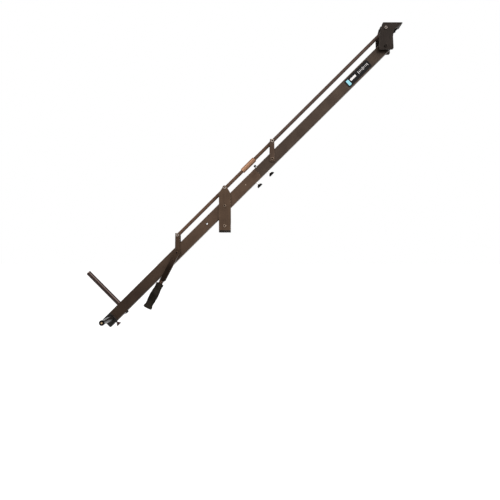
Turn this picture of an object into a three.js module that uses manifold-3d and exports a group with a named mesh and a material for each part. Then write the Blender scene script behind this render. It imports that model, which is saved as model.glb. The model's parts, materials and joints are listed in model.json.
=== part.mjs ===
// Camera jib crane: a two-piece beam that tilts on a panning post. Upper rods and links of one crank
// length hold the camera head level. The weight bar, the push bar and the tilt handle are at the rear.
// Millimetres. +X points to the camera head, +Y away from the tilt handle, +Z up.
// The origin is the centre of the underside of the base plate, on the pan axis.

import * as THREE from 'three';
import { mergeVertices } from 'three/addons/utils/BufferGeometryUtils.js';
import Module from 'manifold-3d';

// Linkage. Stations are measured along the beam from the main pivot.
const BEAM_TILT = THREE.MathUtils.degToRad(44.8);
const PIVOT_HEIGHT = 137; // underside of the base plate to the main pivot
const CRANK_LENGTH = 92; // lower to upper pin of the post, of both links and of the head
const LINK_STATION = 345; // both links, one behind and one ahead of the post
const HEAD_STATION = 1168;

// Fits
const PLAY = 0.3; // between two pieces that are seated on each other
const RUNNING_PLAY = 0.4; // round a pin in the bore that turns on it
const AXIAL_PLAY = 0.5; // at each end of a piece that turns between two others
const OVERRUN = 2; // how far a cut runs past the face that it opens
const ROUND_STEPS = 16; // flats round a pin or a bore
const FINE_STEPS = 24; // flats round a bar that shows
const ARC_STEPS = 4; // steps in a quarter of a plate's round end
const CORNER_STEPS = 1; // the same in a tube's corner, which has two flats to a step
const HEX_STEPS = 6;

// Beam: rectangular aluminium tube in two sections
const BEAM_DEPTH = 57;
const BEAM_WIDTH = 40;
const BEAM_WALL = 3;
const BEAM_CORNER = 3;
const REAR_REACH = 811;
const FRONT_OVERHANG = 20; // beyond the head pin
const PARKING_HOLE_STATION = 131; // behind the main pivot
const PARKING_HOLE = 10;
const FRONT_PLUG_PROUD = 4;
const FRONT_PLUG_DEPTH = 14;
const MAIN_BUSH = 18;
const MAIN_BUSH_PROUD = 1;

// Splice between the two sections
const SPLICE_TO_LINK = 102; // the joint between the sections to the front link
const SLEEVE_LENGTH = 140;
const SLEEVE_WALL = 4;
const SPLICE_STUD = 8;
const STUD_TIP = 2; // the stud's end beyond the sleeve's wall
const REAR_STUD_BACK = 39; // the joint between the sections to each stud
const TOP_STUD_AHEAD = 15;
const FRONT_STUD_AHEAD = 47;
const LOW_KNOB_STANDOFF = 14; // beam to knob on the two lower studs
const TOP_STANDOFF_SHARE = 0.13; // of the space under the turnbuckle
const TOP_HEIGHT_SHARE = 0.47; // of the same space
const KNOB_LENGTH = 31;
const KNOB_HEIGHT = 16;
const KNOB_WIDTH = 13;
const WING_HUB_SHARE = 0.46; // hub across its narrow end as a share of the wing's length
const WING_TIP_SHARE = 0.4; // a wing's tips as a share of its height
const KNOB_SOCKET_SHARE = 0.66; // how far the stud goes into the knob's height

// Rear end: weight bar, push bar and the block that holds the push bar
const WEIGHT_BAR_AHEAD = 76; // ahead of the push bar
const WEIGHT_BAR = 25;
const WEIGHT_BAR_RISE = 257; // above the beam's centre line
const WEIGHT_BAR_CHAMFER = 1.5;
const WEIGHT_BOLT_HEAD = 16;
const WEIGHT_BOLT_HEAD_HEIGHT = 7;
const WEIGHT_BOLT_GRIP = 25; // thread inside the bar
const PUSH_BAR_EDGE = 2.5; // the beam's rear end to the push bar
const PUSH_BAR = 25;
const PUSH_BAR_WALL = 2;
const PUSH_BAR_NEAR = 210;
const PUSH_BAR_FAR = 285;
const END_BLOCK_PROUD = 54;
const END_BLOCK_SPIGOT = 42;
const CAP_RIM = 27;
const CAP_RIM_LENGTH = 7;
const CAP_SPIGOT_LENGTH = 12;
const CAP_SCREW = 10;
const CAP_SCREW_DEPTH = 2;
const CLAMP_STUD = 8;
const CLAMP_STANDOFF = 8; // block to wing
const CLAMP_WING_LENGTH = 25;
const CLAMP_WING_HEIGHT = 13;
const CLAMP_WING_WIDTH = 12;

// Base plate and pan bearing
const BASE_THICKNESS = 10;
const BASE_CORNER = 4;
const TRIPOD_THREAD = 9.5;
const TRIPOD_THREAD_DEPTH = 14;
const PAN_STUD = 16;
const PAN_FLANGE = 24;
const PAN_FLANGE_THICKNESS = 3;
const WASHER = 40;
const WASHER_THICKNESS = 1.5;
const PAN_NUT_FLATS = 24;
const PAN_NUT_HEIGHT = 10;
const PAN_STUD_TIP = 3;

// Post: two plates on a block
const POST_WIDTH = 60;
const POST_CLEARANCE = 8; // from the beam's side to a plate
const POST_PLATE = 6;
const POST_SHOULDER = 60; // main pivot to where the sides start to curve in
const POST_NOSE = 25; // across the round nose at the upper pin
const POST_BLOCK_HEIGHT = 36.5;
const FOOT_SCREW_HEIGHT = 32.5;
const FOOT_SCREW_GRIP = 10;
const PIVOT_SPACER = 22;
const TOP_SPACER = 14;

// Links: a plate on each side of the beam
const LINK_CLEARANCE = 2; // from the beam's side to a plate
const LINK_PLATE = 5;
const LINK_FOOT = 26; // across the lower end
const LINK_FOOT_DROP = 14.5; // plate below the lower pin
const LINK_FOOT_CORNER = 6;
const LINK_TOP = 22; // across the upper end
const LINK_CREST = 10; // plate above the upper pin
const LINK_FOOT_BOSS = 22;
const LINK_TOP_BOSS = 15;

// Upper rods
const ROD = 18;
const ROD_NECK = 15; // pin to the start of the round rod
const EYE_WIDTH = 10; // tongue of the rod end that goes into a fork
const FORK_WIDTH = 20;
const FORK_DEPTH = 24;
const ROD_FLAT_SHARE = 0.9; // height of a rod end as a share of the rod
const TURNBUCKLE = 27;
const TURNBUCKLE_LENGTH = 91;
const TURNBUCKLE_CHAMFER = 3;
const ROD_THREAD = 10;
const THREAD_END_GAP = 8; // between the two thread ends in the turnbuckle

// Screws: large ones at the pivots, a smaller one at the post's upper pin
const SCREW_SHANK = 9.5;
const SCREW_HEAD = 14.3;
const SCREW_HEAD_HEIGHT = 6;
const SCREW_SOCKET = 7.9;
const SCREW_SOCKET_DEPTH = 3;
const SCREW_NUT_FLATS = 14.3;
const SCREW_NUT_HEIGHT = 8;
const SMALL_SHANK = 7.9;
const SMALL_HEAD = 11.9;
const SMALL_HEAD_HEIGHT = 5;
const SMALL_SOCKET = 6.3;
const SMALL_NUT_FLATS = 12.7;
const SMALL_NUT_HEIGHT = 7;

// Tilt handle on the rear link
const LEVER_TILT = THREE.MathUtils.degToRad(27.5); // from straight down, towards the rear
const LEVER_WIDTH = 27;
const LEVER_THICKNESS = 24;
const LEVER_REACH = 163; // rear link pin to the lever's lower end
const LEVER_HEEL = 13; // above the pin
const LEVER_ARM = 60; // the link's own arm behind the lever
const LEVER_SCREW_REACH = 42;
const LEVER_BEVEL = 5;
const HANDLE_SPLAY = THREE.MathUtils.degToRad(4); // outwards, clear of the beam
const HANDLE_OFFSET = 3.5; // the handle rod from the lever's centre line, towards the beam
const HANDLE_ROD = 12;
const HANDLE_SEAT = 20; // handle rod inside the lever
const HANDLE_NECK = 18; // lever to grip
const COLLAR = 24;
const COLLAR_GROOVE = 19;
const COLLAR_GROOVE_LENGTH = 3;
const GRIP_LENGTH = 139.5;
const GRIP_TOP_FLANGE = 39.5;
const GRIP_NECK = 37.5;
const GRIP_BELLY = 45;
const GRIP_WAIST = 38.5;
const GRIP_END_FLANGE = 45.5;
const GRIP_END_ROUND = 4;
const GRIP_BORE_SHARE = 0.85; // depth of the bore as a share of the grip's length

// Camera head: two plates under a platform. Heights are above the head pin, reaches from it.
const HEAD_CLEARANCE = 14; // from the beam's side to a plate
const HEAD_PLATE = 5;
const HEAD_FOOT_DROP = 22;
const HEAD_FOOT_REAR = 33;
const HEAD_FOOT_FRONT = 41;
const HEAD_FOOT_BEVEL = 5;
const HEAD_WAIST_REAR = 35;
const HEAD_WAIST_FRONT = 38;
const HEAD_WAIST_HEIGHT = 48;
const HEAD_BROW_FRONT = 42.5;
const HEAD_BROW_HEIGHT = 82;
const HEAD_TOP_REAR = 17.5;
const FLANGE_CLEARANCE = 1.5; // upper boss to the platform's flanges
const PLATFORM_REAR = 14;
const PLATFORM_NOTCH = 24; // across the notch in its rear edge, where the upper rod swings up
const PLATFORM_NOTCH_FLOOR = 4; // behind the pin
const PLATFORM_FRONT = 87;
const PLATFORM_THICKNESS = 5;
const PLATFORM_FLANGE = 14;
const PLATFORM_FLANGE_INSET = 12; // behind the platform's front edge
const HEAD_FOOT_BOSS = 22;
const HEAD_TOP_BOSS = 15;
const CAMERA_SCREW = 6.35;
const CAMERA_SCREW_FRONT = 43;
const CAMERA_SCREW_RECESS = 0.5; // its tip below the platform's top
const CAMERA_KNOB = 35;
const CAMERA_KNOB_HEIGHT = 13;
const CAMERA_KNOB_DROP = 20; // platform's underside to the knob's top
const CAMERA_KNOB_CHAMFER = 2;

// Places that follow from the sizes above
const POST_GAP = BEAM_WIDTH + 2 * POST_CLEARANCE;
const LINK_GAP = BEAM_WIDTH + 2 * LINK_CLEARANCE;
const HEAD_GAP = BEAM_WIDTH + 2 * HEAD_CLEARANCE;
const HEAD_TOP_HEIGHT = CRANK_LENGTH + HEAD_TOP_BOSS / 2 + FLANGE_CLEARANCE + PLATFORM_FLANGE;
const SPLICE_STATION = LINK_STATION - SPLICE_TO_LINK;
const PUSH_BAR_STATION = REAR_REACH + PUSH_BAR_EDGE + PUSH_BAR / 2; // behind the main pivot
const WEIGHT_BAR_STATION = PUSH_BAR_STATION - WEIGHT_BAR_AHEAD; // behind it too
const TURNBUCKLE_SPACE = CRANK_LENGTH * Math.cos(BEAM_TILT) - (TURNBUCKLE + BEAM_DEPTH) / 2;
const POST_FOOT = BASE_THICKNESS + 2 * PLAY;
const BLOCK_TOP = POST_FOOT + POST_BLOCK_HEIGHT;
const BEAM_SIDE = BEAM_WIDTH / 2;
const BEAM_FACE = BEAM_DEPTH / 2;
const POST_OUTSIDE = POST_GAP / 2 + POST_PLATE;
const LINK_OUTSIDE = LINK_GAP / 2 + LINK_PLATE;
const HEAD_OUTSIDE = HEAD_GAP / 2 + HEAD_PLATE;
const LEVER_OUTSIDE = LINK_OUTSIDE + PLAY + LEVER_THICKNESS;
const FORK_SIDE = FORK_WIDTH / 2;
const CLAMP_REACH = PUSH_BAR / 2 + PLAY;

const wasm = await Module();
wasm.setup();

// Solids

// A closed three.js geometry as a solid that can be joined and cut.
function solidOf(geometry) {
  const bare = geometry.clone();
  bare.deleteAttribute('normal');
  bare.deleteAttribute('uv');
  const merged = mergeVertices(bare);
  const triangles = [];
  for (let i = 0; i < merged.index.count; i += 3) {
    const [a, b, c] = [0, 1, 2].map((corner) => merged.index.getX(i + corner));
    if (a !== b && b !== c && c !== a) triangles.push(a, b, c);
  }
  return new wasm.Manifold(new wasm.Mesh({
    numProp: 3,
    vertProperties: new Float32Array(merged.attributes.position.array),
    triVerts: new Uint32Array(triangles),
  }));
}

function joined(first, ...rest) {
  return rest.reduce((whole, next) => whole.add(next), first);
}

function cut(body, ...tools) {
  return tools.reduce((rest, tool) => rest.subtract(tool), body);
}

function block([xLow, xHigh], [yLow, yHigh], [zLow, zHigh]) {
  const box = new THREE.BoxGeometry(xHigh - xLow, yHigh - yLow, zHigh - zLow);
  return solidOf(box.translate((xLow + xHigh) / 2, (yLow + yHigh) / 2, (zLow + zHigh) / 2));
}

// Round bars along each axis, from a low to a high place on it.
function barAcross(diameter, [low, high], x = 0, z = 0, steps = ROUND_STEPS) {
  const bar = new THREE.CylinderGeometry(diameter / 2, diameter / 2, high - low, steps);
  return solidOf(bar.translate(x, (low + high) / 2, z));
}

function barAlong(diameter, [low, high], steps = ROUND_STEPS) {
  const bar = new THREE.CylinderGeometry(diameter / 2, diameter / 2, high - low, steps);
  return solidOf(bar.rotateZ(Math.PI / 2).translate((low + high) / 2, 0, 0));
}

function barUp(diameter, [low, high], x = 0, y = 0, steps = ROUND_STEPS) {
  const bar = new THREE.CylinderGeometry(diameter / 2, diameter / 2, high - low, steps);
  return solidOf(bar.rotateX(Math.PI / 2).translate(x, y, (low + high) / 2));
}

// The bore for a round bar: its flats keep the play that the bar's corners need.
function boreFor(diameter, play = RUNNING_PLAY) {
  return (diameter + 2 * play) / Math.cos(Math.PI / ROUND_STEPS);
}

// A six-sided bar along Y or Z, by its width across the flats.
function hexAcross(flats, range, x = 0, z = 0) {
  return barAcross(flats / Math.cos(Math.PI / HEX_STEPS), range, x, z, HEX_STEPS);
}

// An outline in X and Z, as thick as the range along Y.
function plate(outline, [low, high]) {
  const slab = new THREE.ExtrudeGeometry(outline, {
    depth: high - low,
    bevelEnabled: false,
    curveSegments: ARC_STEPS,
  });
  return solidOf(slab.rotateX(Math.PI / 2).translate(0, high, 0));
}

// A turned piece: its profile is a list of [place along the axis, radius], and the axis is X.
function turned(profile, steps = FINE_STEPS) {
  const points = profile.map(([along, radius]) => new THREE.Vector2(radius, along));
  return solidOf(new THREE.LatheGeometry(points, steps).rotateZ(-Math.PI / 2));
}

function polygon(points) {
  return new THREE.Shape(points.map(([x, z]) => new THREE.Vector2(x, z)));
}

function roundedRectangle(width, height, radius) {
  const [x, y] = [width / 2 - radius, height / 2 - radius];
  const outline = new THREE.Shape();
  outline.absarc(x, y, radius, 0, Math.PI / 2);
  outline.absarc(-x, y, radius, Math.PI / 2, Math.PI);
  outline.absarc(-x, -y, radius, Math.PI, Math.PI * 1.5);
  outline.absarc(x, -y, radius, Math.PI * 1.5, Math.PI * 2);
  return outline;
}

// Finishes
const finish = (color, roughness, metalness) => (
  () => new THREE.MeshStandardMaterial({ color, roughness, metalness })
);
const bronzeAnodised = finish(0x54433a, 0.45, 0.6);
const darkAnodised = finish(0x3a2f29, 0.45, 0.6);
const headBlack = finish(0x36312e, 0.5, 0.5);
const blackPlastic = finish(0x1b1716, 0.55, 0);
const gripRubber = finish(0x24221e, 0.8, 0);
const brightSteel = finish(0xd0c4b8, 0.3, 1);
const bronzeSteel = finish(0x5b473a, 0.4, 0.8);
const darkSteel = finish(0x4a4442, 0.3, 0.9);
const tanAnodised = finish(0xb07c5c, 0.4, 0.5);
const whiteNylon = finish(0xe6e2d8, 0.5, 0);

// The mesh of one piece of the crane.
function piece(name, solid, material) {
  const { vertProperties, triVerts } = solid.getMesh();
  const geometry = new THREE.BufferGeometry();
  geometry.setAttribute('position', new THREE.BufferAttribute(vertProperties, 3));
  geometry.setIndex(new THREE.BufferAttribute(triVerts, 1));
  geometry.computeVertexNormals();
  const mesh = new THREE.Mesh(geometry, material());
  mesh.name = name;
  return mesh;
}

// A screw across the crane, its head on the near side at -Y and its nut on the far side.
function pinScrew({ near, far, shank, head, headHeight, socket, nutFlats, nutHeight }) {
  const headFace = -near - PLAY;
  const nutFace = far + PLAY;
  const body = joined(
    barAcross(head, [headFace - headHeight, headFace]),
    barAcross(shank, [headFace - OVERRUN, nutFace + OVERRUN]),
    hexAcross(nutFlats, [nutFace, nutFace + nutHeight]),
  );
  const mouth = headFace - headHeight;
  return cut(body, hexAcross(socket, [mouth - OVERRUN, mouth + SCREW_SOCKET_DEPTH]));
}

function largePin(near, far = near) {
  return pinScrew({
    near,
    far,
    shank: SCREW_SHANK,
    head: SCREW_HEAD,
    headHeight: SCREW_HEAD_HEIGHT,
    socket: SCREW_SOCKET,
    nutFlats: SCREW_NUT_FLATS,
    nutHeight: SCREW_NUT_HEIGHT,
  });
}

function nutAcross(flats, shank, [low, high]) {
  return cut(
    hexAcross(flats, [low, high]),
    barAcross(boreFor(shank, PLAY), [low - OVERRUN, high + OVERRUN]),
  );
}

// Base plate and pan bearing

function basePlate() {
  const slab = new THREE.ExtrudeGeometry(roundedRectangle(POST_WIDTH, 2 * POST_OUTSIDE, BASE_CORNER), {
    depth: BASE_THICKNESS,
    bevelEnabled: false,
    curveSegments: CORNER_STEPS,
  });
  return cut(
    solidOf(slab),
    barUp(boreFor(PAN_STUD, PLAY), [-OVERRUN, BASE_THICKNESS + OVERRUN]),
    barUp(boreFor(PAN_FLANGE, PLAY), [-OVERRUN, PAN_FLANGE_THICKNESS + PLAY]),
  );
}

function panStud() {
  const top = BLOCK_TOP + PLAY + PAN_NUT_HEIGHT + PAN_STUD_TIP;
  return cut(
    joined(barUp(PAN_FLANGE, [0, PAN_FLANGE_THICKNESS]), barUp(PAN_STUD, [0, top])),
    barUp(TRIPOD_THREAD, [-OVERRUN, TRIPOD_THREAD_DEPTH]),
  );
}

function panNut() {
  const range = [BLOCK_TOP + PLAY, BLOCK_TOP + PLAY + PAN_NUT_HEIGHT];
  const across = PAN_NUT_FLATS / Math.cos(Math.PI / HEX_STEPS);
  return cut(
    barUp(across, range, 0, 0, HEX_STEPS),
    barUp(boreFor(PAN_STUD, PLAY), [0, BLOCK_TOP + PIVOT_HEIGHT]),
  );
}

function thrustWasher() {
  const low = BASE_THICKNESS + PLAY;
  return cut(
    barUp(WASHER, [low, low + WASHER_THICKNESS]),
    barUp(boreFor(PAN_STUD), [0, POST_FOOT + OVERRUN + WASHER_THICKNESS]),
  );
}

// Post

function postOutline() {
  const side = POST_WIDTH / 2;
  const nose = POST_NOSE / 2;
  const shoulder = PIVOT_HEIGHT + POST_SHOULDER;
  const pin = PIVOT_HEIGHT + CRANK_LENGTH;
  const outline = new THREE.Shape();
  outline.moveTo(-side, POST_FOOT);
  outline.lineTo(side, POST_FOOT);
  outline.lineTo(side, shoulder);
  outline.quadraticCurveTo((side + nose) / 2 + nose / 3, (shoulder + pin) / 2, nose, pin);
  outline.absarc(0, pin, nose, 0, Math.PI);
  outline.quadraticCurveTo(-(side + nose) / 2 - nose / 3, (shoulder + pin) / 2, -side, shoulder);
  return outline;
}

function postPlate(side) {
  const inner = POST_GAP / 2;
  const through = [-POST_OUTSIDE - OVERRUN, POST_OUTSIDE + OVERRUN];
  const range = side < 0 ? [-POST_OUTSIDE, -inner] : [inner, POST_OUTSIDE];
  return cut(
    plate(postOutline(), range),
    barAcross(boreFor(SCREW_SHANK, PLAY), through, 0, PIVOT_HEIGHT),
    barAcross(boreFor(SMALL_SHANK, PLAY), through, 0, PIVOT_HEIGHT + CRANK_LENGTH),
    barAcross(boreFor(SCREW_SHANK, PLAY), through, 0, FOOT_SCREW_HEIGHT),
  );
}

function postBlock() {
  const side = POST_GAP / 2 - PLAY;
  const holeFloor = side - FOOT_SCREW_GRIP - OVERRUN;
  const screwHole = boreFor(SCREW_SHANK, PLAY);
  return cut(
    block([-POST_WIDTH / 2, POST_WIDTH / 2], [-side, side], [POST_FOOT, BLOCK_TOP]),
    barUp(boreFor(PAN_STUD), [0, PIVOT_HEIGHT]),
    barUp(boreFor(WASHER), [0, BASE_THICKNESS + PLAY + WASHER_THICKNESS + PLAY]),
    barAcross(screwHole, [-POST_OUTSIDE, -holeFloor], 0, FOOT_SCREW_HEIGHT),
    barAcross(screwHole, [holeFloor, POST_OUTSIDE], 0, FOOT_SCREW_HEIGHT),
  );
}

function footScrew(side) {
  const face = POST_OUTSIDE + PLAY;
  const mouth = face + SCREW_HEAD_HEIGHT;
  const tip = POST_GAP / 2 - PLAY - FOOT_SCREW_GRIP;
  const range = (low, high) => (side < 0 ? [-high, -low] : [low, high]);
  return cut(
    joined(barAcross(SCREW_HEAD, range(face, mouth)), barAcross(SCREW_SHANK, range(tip, face + PLAY))),
    hexAcross(SCREW_SOCKET, range(mouth - SCREW_SOCKET_DEPTH, mouth + OVERRUN)),
  );
}

// The screws of the main pivot and of the post's upper pin have their nuts as pieces of their own.
function postScrew(shank, head, headHeight, socket, nutHeight) {
  const face = -POST_OUTSIDE - PLAY;
  const mouth = face - headHeight;
  return cut(
    joined(
      barAcross(head, [mouth, face]),
      barAcross(shank, [face - PLAY, POST_OUTSIDE + nutHeight + OVERRUN]),
    ),
    hexAcross(socket, [mouth - OVERRUN, mouth + SCREW_SOCKET_DEPTH]),
  );
}

// A spacer tube between a post plate and what turns in the middle of the post.
function spacer(diameter, shank, side, inner) {
  const outer = POST_GAP / 2 - PLAY;
  const range = side < 0 ? [-outer, -inner] : [inner, outer];
  return cut(barAcross(diameter, range), barAcross(boreFor(shank, PLAY), [-POST_GAP, POST_GAP]));
}

// Beam, in its own frame: X along the beam from the main pivot, Z square to it

function beamTube(low, high) {
  const outer = roundedRectangle(BEAM_WIDTH, BEAM_DEPTH, BEAM_CORNER);
  const [width, depth] = [BEAM_WIDTH - 2 * BEAM_WALL, BEAM_DEPTH - 2 * BEAM_WALL];
  outer.holes.push(roundedRectangle(width, depth, BEAM_CORNER / 2));
  return solidOf(tubeAlong(outer, low, high));
}

// An outline in Y and Z, drawn out along X.
function tubeAlong(outline, low, high) {
  const tube = new THREE.ExtrudeGeometry(outline, {
    depth: high - low,
    bevelEnabled: false,
    curveSegments: CORNER_STEPS,
  });
  return tube.rotateX(Math.PI / 2).rotateZ(Math.PI / 2).translate(low, 0, 0);
}

function acrossBeam(diameter, station) {
  return barAcross(diameter, [-BEAM_WIDTH, BEAM_WIDTH], station);
}

// A hole through the lower wall (side -1) or the upper wall (side 1) of the beam and its sleeve.
function throughWall(diameter, station, side) {
  return barUp(diameter, side < 0 ? [-BEAM_DEPTH, 0] : [0, BEAM_DEPTH], station);
}

function rearBeam() {
  return cut(
    beamTube(-REAR_REACH, SPLICE_STATION - PLAY / 2),
    acrossBeam(boreFor(MAIN_BUSH, PLAY), 0),
    acrossBeam(boreFor(SCREW_SHANK), -LINK_STATION),
    acrossBeam(PARKING_HOLE, -PARKING_HOLE_STATION),
    throughWall(boreFor(WEIGHT_BAR, PLAY), -WEIGHT_BAR_STATION, 1),
    throughWall(boreFor(SCREW_SHANK, PLAY), -WEIGHT_BAR_STATION, -1),
    throughWall(boreFor(SPLICE_STUD), SPLICE_STATION - REAR_STUD_BACK, -1),
  );
}

function frontBeam() {
  return cut(
    beamTube(SPLICE_STATION + PLAY / 2, HEAD_STATION + FRONT_OVERHANG),
    acrossBeam(boreFor(SCREW_SHANK), LINK_STATION),
    acrossBeam(boreFor(SCREW_SHANK), HEAD_STATION),
    throughWall(boreFor(SPLICE_STUD), SPLICE_STATION + FRONT_STUD_AHEAD, -1),
    throughWall(boreFor(SPLICE_STUD), SPLICE_STATION + TOP_STUD_AHEAD, 1),
  );
}

function spliceSleeve() {
  const width = BEAM_WIDTH - 2 * BEAM_WALL - 2 * PLAY;
  const depth = BEAM_DEPTH - 2 * BEAM_WALL - 2 * PLAY;
  const outline = roundedRectangle(width, depth, BEAM_CORNER);
  outline.holes.push(roundedRectangle(width - 2 * SLEEVE_WALL, depth - 2 * SLEEVE_WALL, BEAM_CORNER));
  return cut(
    solidOf(tubeAlong(outline, SPLICE_STATION - SLEEVE_LENGTH / 2, SPLICE_STATION + SLEEVE_LENGTH / 2)),
    throughWall(boreFor(SPLICE_STUD), SPLICE_STATION - REAR_STUD_BACK, -1),
    throughWall(boreFor(SPLICE_STUD), SPLICE_STATION + FRONT_STUD_AHEAD, -1),
    throughWall(boreFor(SPLICE_STUD), SPLICE_STATION + TOP_STUD_AHEAD, 1),
  );
}

function mainBush() {
  const end = BEAM_SIDE + MAIN_BUSH_PROUD;
  return cut(barAcross(MAIN_BUSH, [-end, end]), acrossBeam(boreFor(SCREW_SHANK), 0));
}

// A plug in an open beam end, with a flange as large as the beam. Inward is 1 or -1 along X.
function beamPlug(end, inward, flange, spigot) {
  const width = BEAM_WIDTH - 2 * BEAM_WALL - 2 * PLAY;
  const depth = BEAM_DEPTH - 2 * BEAM_WALL - 2 * PLAY;
  const seat = end - inward * PLAY;
  const order = (a, b) => [Math.min(a, b), Math.max(a, b)];
  const [flangeLow, flangeHigh] = order(seat, seat - inward * flange);
  const [spigotLow, spigotHigh] = order(seat - inward * flange / 2, end + inward * spigot);
  return joined(
    solidOf(tubeAlong(roundedRectangle(BEAM_WIDTH, BEAM_DEPTH, BEAM_CORNER), flangeLow, flangeHigh)),
    solidOf(tubeAlong(roundedRectangle(width, depth, BEAM_CORNER), spigotLow, spigotHigh)),
  );
}

function endBlock() {
  return cut(
    beamPlug(-REAR_REACH, 1, END_BLOCK_PROUD, END_BLOCK_SPIGOT),
    acrossBeam(boreFor(PUSH_BAR), -PUSH_BAR_STATION),
    throughWall(boreFor(CLAMP_STUD), -PUSH_BAR_STATION, -1),
  );
}

function weightBar() {
  const foot = -BEAM_FACE + BEAM_WALL + PLAY;
  const radius = WEIGHT_BAR / 2;
  const bar = new THREE.LatheGeometry([
    new THREE.Vector2(0, foot),
    new THREE.Vector2(radius, foot),
    new THREE.Vector2(radius, WEIGHT_BAR_RISE - WEIGHT_BAR_CHAMFER),
    new THREE.Vector2(radius - WEIGHT_BAR_CHAMFER, WEIGHT_BAR_RISE),
    new THREE.Vector2(0, WEIGHT_BAR_RISE),
  ], FINE_STEPS).rotateX(Math.PI / 2).translate(-WEIGHT_BAR_STATION, 0, 0);
  const thread = [-BEAM_DEPTH, foot + WEIGHT_BOLT_GRIP + OVERRUN];
  return cut(solidOf(bar), barUp(boreFor(SCREW_SHANK, PLAY), thread, -WEIGHT_BAR_STATION));
}

function weightBarBolt() {
  const seat = -BEAM_FACE - PLAY;
  const tip = -BEAM_FACE + BEAM_WALL + WEIGHT_BOLT_GRIP;
  const mouth = seat - WEIGHT_BOLT_HEAD_HEIGHT;
  const socketAcross = SCREW_SOCKET / Math.cos(Math.PI / HEX_STEPS);
  return cut(
    joined(
      barUp(WEIGHT_BOLT_HEAD, [mouth, seat], -WEIGHT_BAR_STATION),
      barUp(SCREW_SHANK, [seat - PLAY, tip], -WEIGHT_BAR_STATION),
    ),
    barUp(socketAcross, [mouth - OVERRUN, mouth + SCREW_SOCKET_DEPTH], -WEIGHT_BAR_STATION, 0, HEX_STEPS),
  );
}

function pushBar() {
  const tube = [-PUSH_BAR_NEAR + CAP_RIM_LENGTH, PUSH_BAR_FAR - CAP_RIM_LENGTH];
  return cut(
    barAcross(PUSH_BAR, tube, -PUSH_BAR_STATION),
    barAcross(PUSH_BAR - 2 * PUSH_BAR_WALL, [-PUSH_BAR_NEAR, PUSH_BAR_FAR], -PUSH_BAR_STATION),
  );
}

// A cap in an open end of the push bar, with the recess for its screw.
function pushBarCap(side) {
  const end = side < 0 ? PUSH_BAR_NEAR : PUSH_BAR_FAR;
  const seat = end - CAP_RIM_LENGTH + PLAY;
  const spigot = (PUSH_BAR - 2 * PUSH_BAR_WALL - 2 * PLAY) * Math.cos(Math.PI / ROUND_STEPS);
  const range = (low, high) => (side < 0 ? [-high, -low] : [low, high]);
  return cut(
    joined(
      barAcross(CAP_RIM, range(seat, end), -PUSH_BAR_STATION),
      barAcross(spigot, range(seat - CAP_SPIGOT_LENGTH, seat + PLAY), -PUSH_BAR_STATION),
    ),
    barAcross(CAP_SCREW, range(end - CAP_SCREW_DEPTH, end + OVERRUN), -PUSH_BAR_STATION),
  );
}

// Screws with a wing to turn them by. Their own frame has Z out of the beam's wall, and a wing's
// hub narrows towards the beam.

function wing(length, width, height, low) {
  const hub = length * WING_HUB_SHARE / 2;
  const high = low + height;
  const tip = high - height * WING_TIP_SHARE;
  const outline = polygon([
    [-hub, low],
    [hub, low],
    [length / 2, tip],
    [length / 2, high],
    [-length / 2, high],
    [-length / 2, tip],
  ]);
  return plate(outline, [-width / 2, width / 2]);
}

function spliceKnob(standoff, height) {
  const low = BEAM_FACE + standoff;
  return cut(
    wing(KNOB_LENGTH, KNOB_WIDTH, height, low),
    barUp(boreFor(SPLICE_STUD, PLAY), [0, low + height * KNOB_SOCKET_SHARE + PLAY]),
  );
}

function spliceStud(standoff, height) {
  const tip = BEAM_FACE - BEAM_WALL - PLAY - SLEEVE_WALL - STUD_TIP;
  return barUp(SPLICE_STUD, [tip, BEAM_FACE + standoff + height * KNOB_SOCKET_SHARE]);
}

function clampScrew() {
  const low = BEAM_FACE + CLAMP_STANDOFF;
  return joined(
    wing(CLAMP_WING_LENGTH, CLAMP_WING_WIDTH, CLAMP_WING_HEIGHT, low),
    barUp(CLAMP_STUD, [CLAMP_REACH, low + OVERRUN]),
  );
}

// Upper rods, in their own frame: X along the rods from the post's upper pin

// The end of a rod at a pin: inward is 1 or -1 along X, from the pin into the rod.
function rodEnd(kind, pin, inward) {
  const order = (a, b) => [Math.min(a, b), Math.max(a, b)];
  const flat = ROD * ROD_FLAT_SHARE / 2;
  const width = kind === 'tongue' ? EYE_WIDTH : FORK_WIDTH;
  const sides = [-width / 2, width / 2];
  const depth = kind === 'fork' ? FORK_DEPTH : ROD_NECK + OVERRUN;
  return joined(
    barAcross(ROD, sides, pin),
    block(order(pin, pin + inward * depth), sides, [-flat, flat]),
  );
}

function forkSlot(pin, inward) {
  const order = (a, b) => [Math.min(a, b), Math.max(a, b)];
  const side = EYE_WIDTH / 2 + PLAY;
  const floor = pin + inward * (ROD / 2 + AXIAL_PLAY);
  return block(order(pin - inward * ROD, floor), [-side, side], [-ROD, ROD]);
}

function rod(ends, range) {
  let body = barAlong(ROD, range);
  for (const { kind, pin, inward } of ends) body = joined(body, rodEnd(kind, pin, inward));
  for (const { kind, pin, inward, shank } of ends) {
    if (kind === 'fork') body = cut(body, forkSlot(pin, inward));
    body = cut(body, barAcross(boreFor(shank), [-FORK_WIDTH, FORK_WIDTH], pin));
  }
  return body;
}

function rearRod() {
  return rod([
    { kind: 'eye', pin: -LINK_STATION, inward: 1, shank: SCREW_SHANK },
    { kind: 'fork', pin: 0, inward: -1, shank: SMALL_SHANK },
  ], [-LINK_STATION + ROD_NECK, -ROD_NECK]);
}

function frontRod() {
  return rod([
    { kind: 'tongue', pin: LINK_STATION, inward: 1, shank: SCREW_SHANK },
    { kind: 'eye', pin: HEAD_STATION, inward: -1, shank: SCREW_SHANK },
  ], [LINK_STATION + ROD_NECK, HEAD_STATION - ROD_NECK]);
}

const TURNBUCKLE_LOW = (LINK_STATION - TURNBUCKLE_LENGTH) / 2;
const TURNBUCKLE_HIGH = (LINK_STATION + TURNBUCKLE_LENGTH) / 2;

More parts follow.
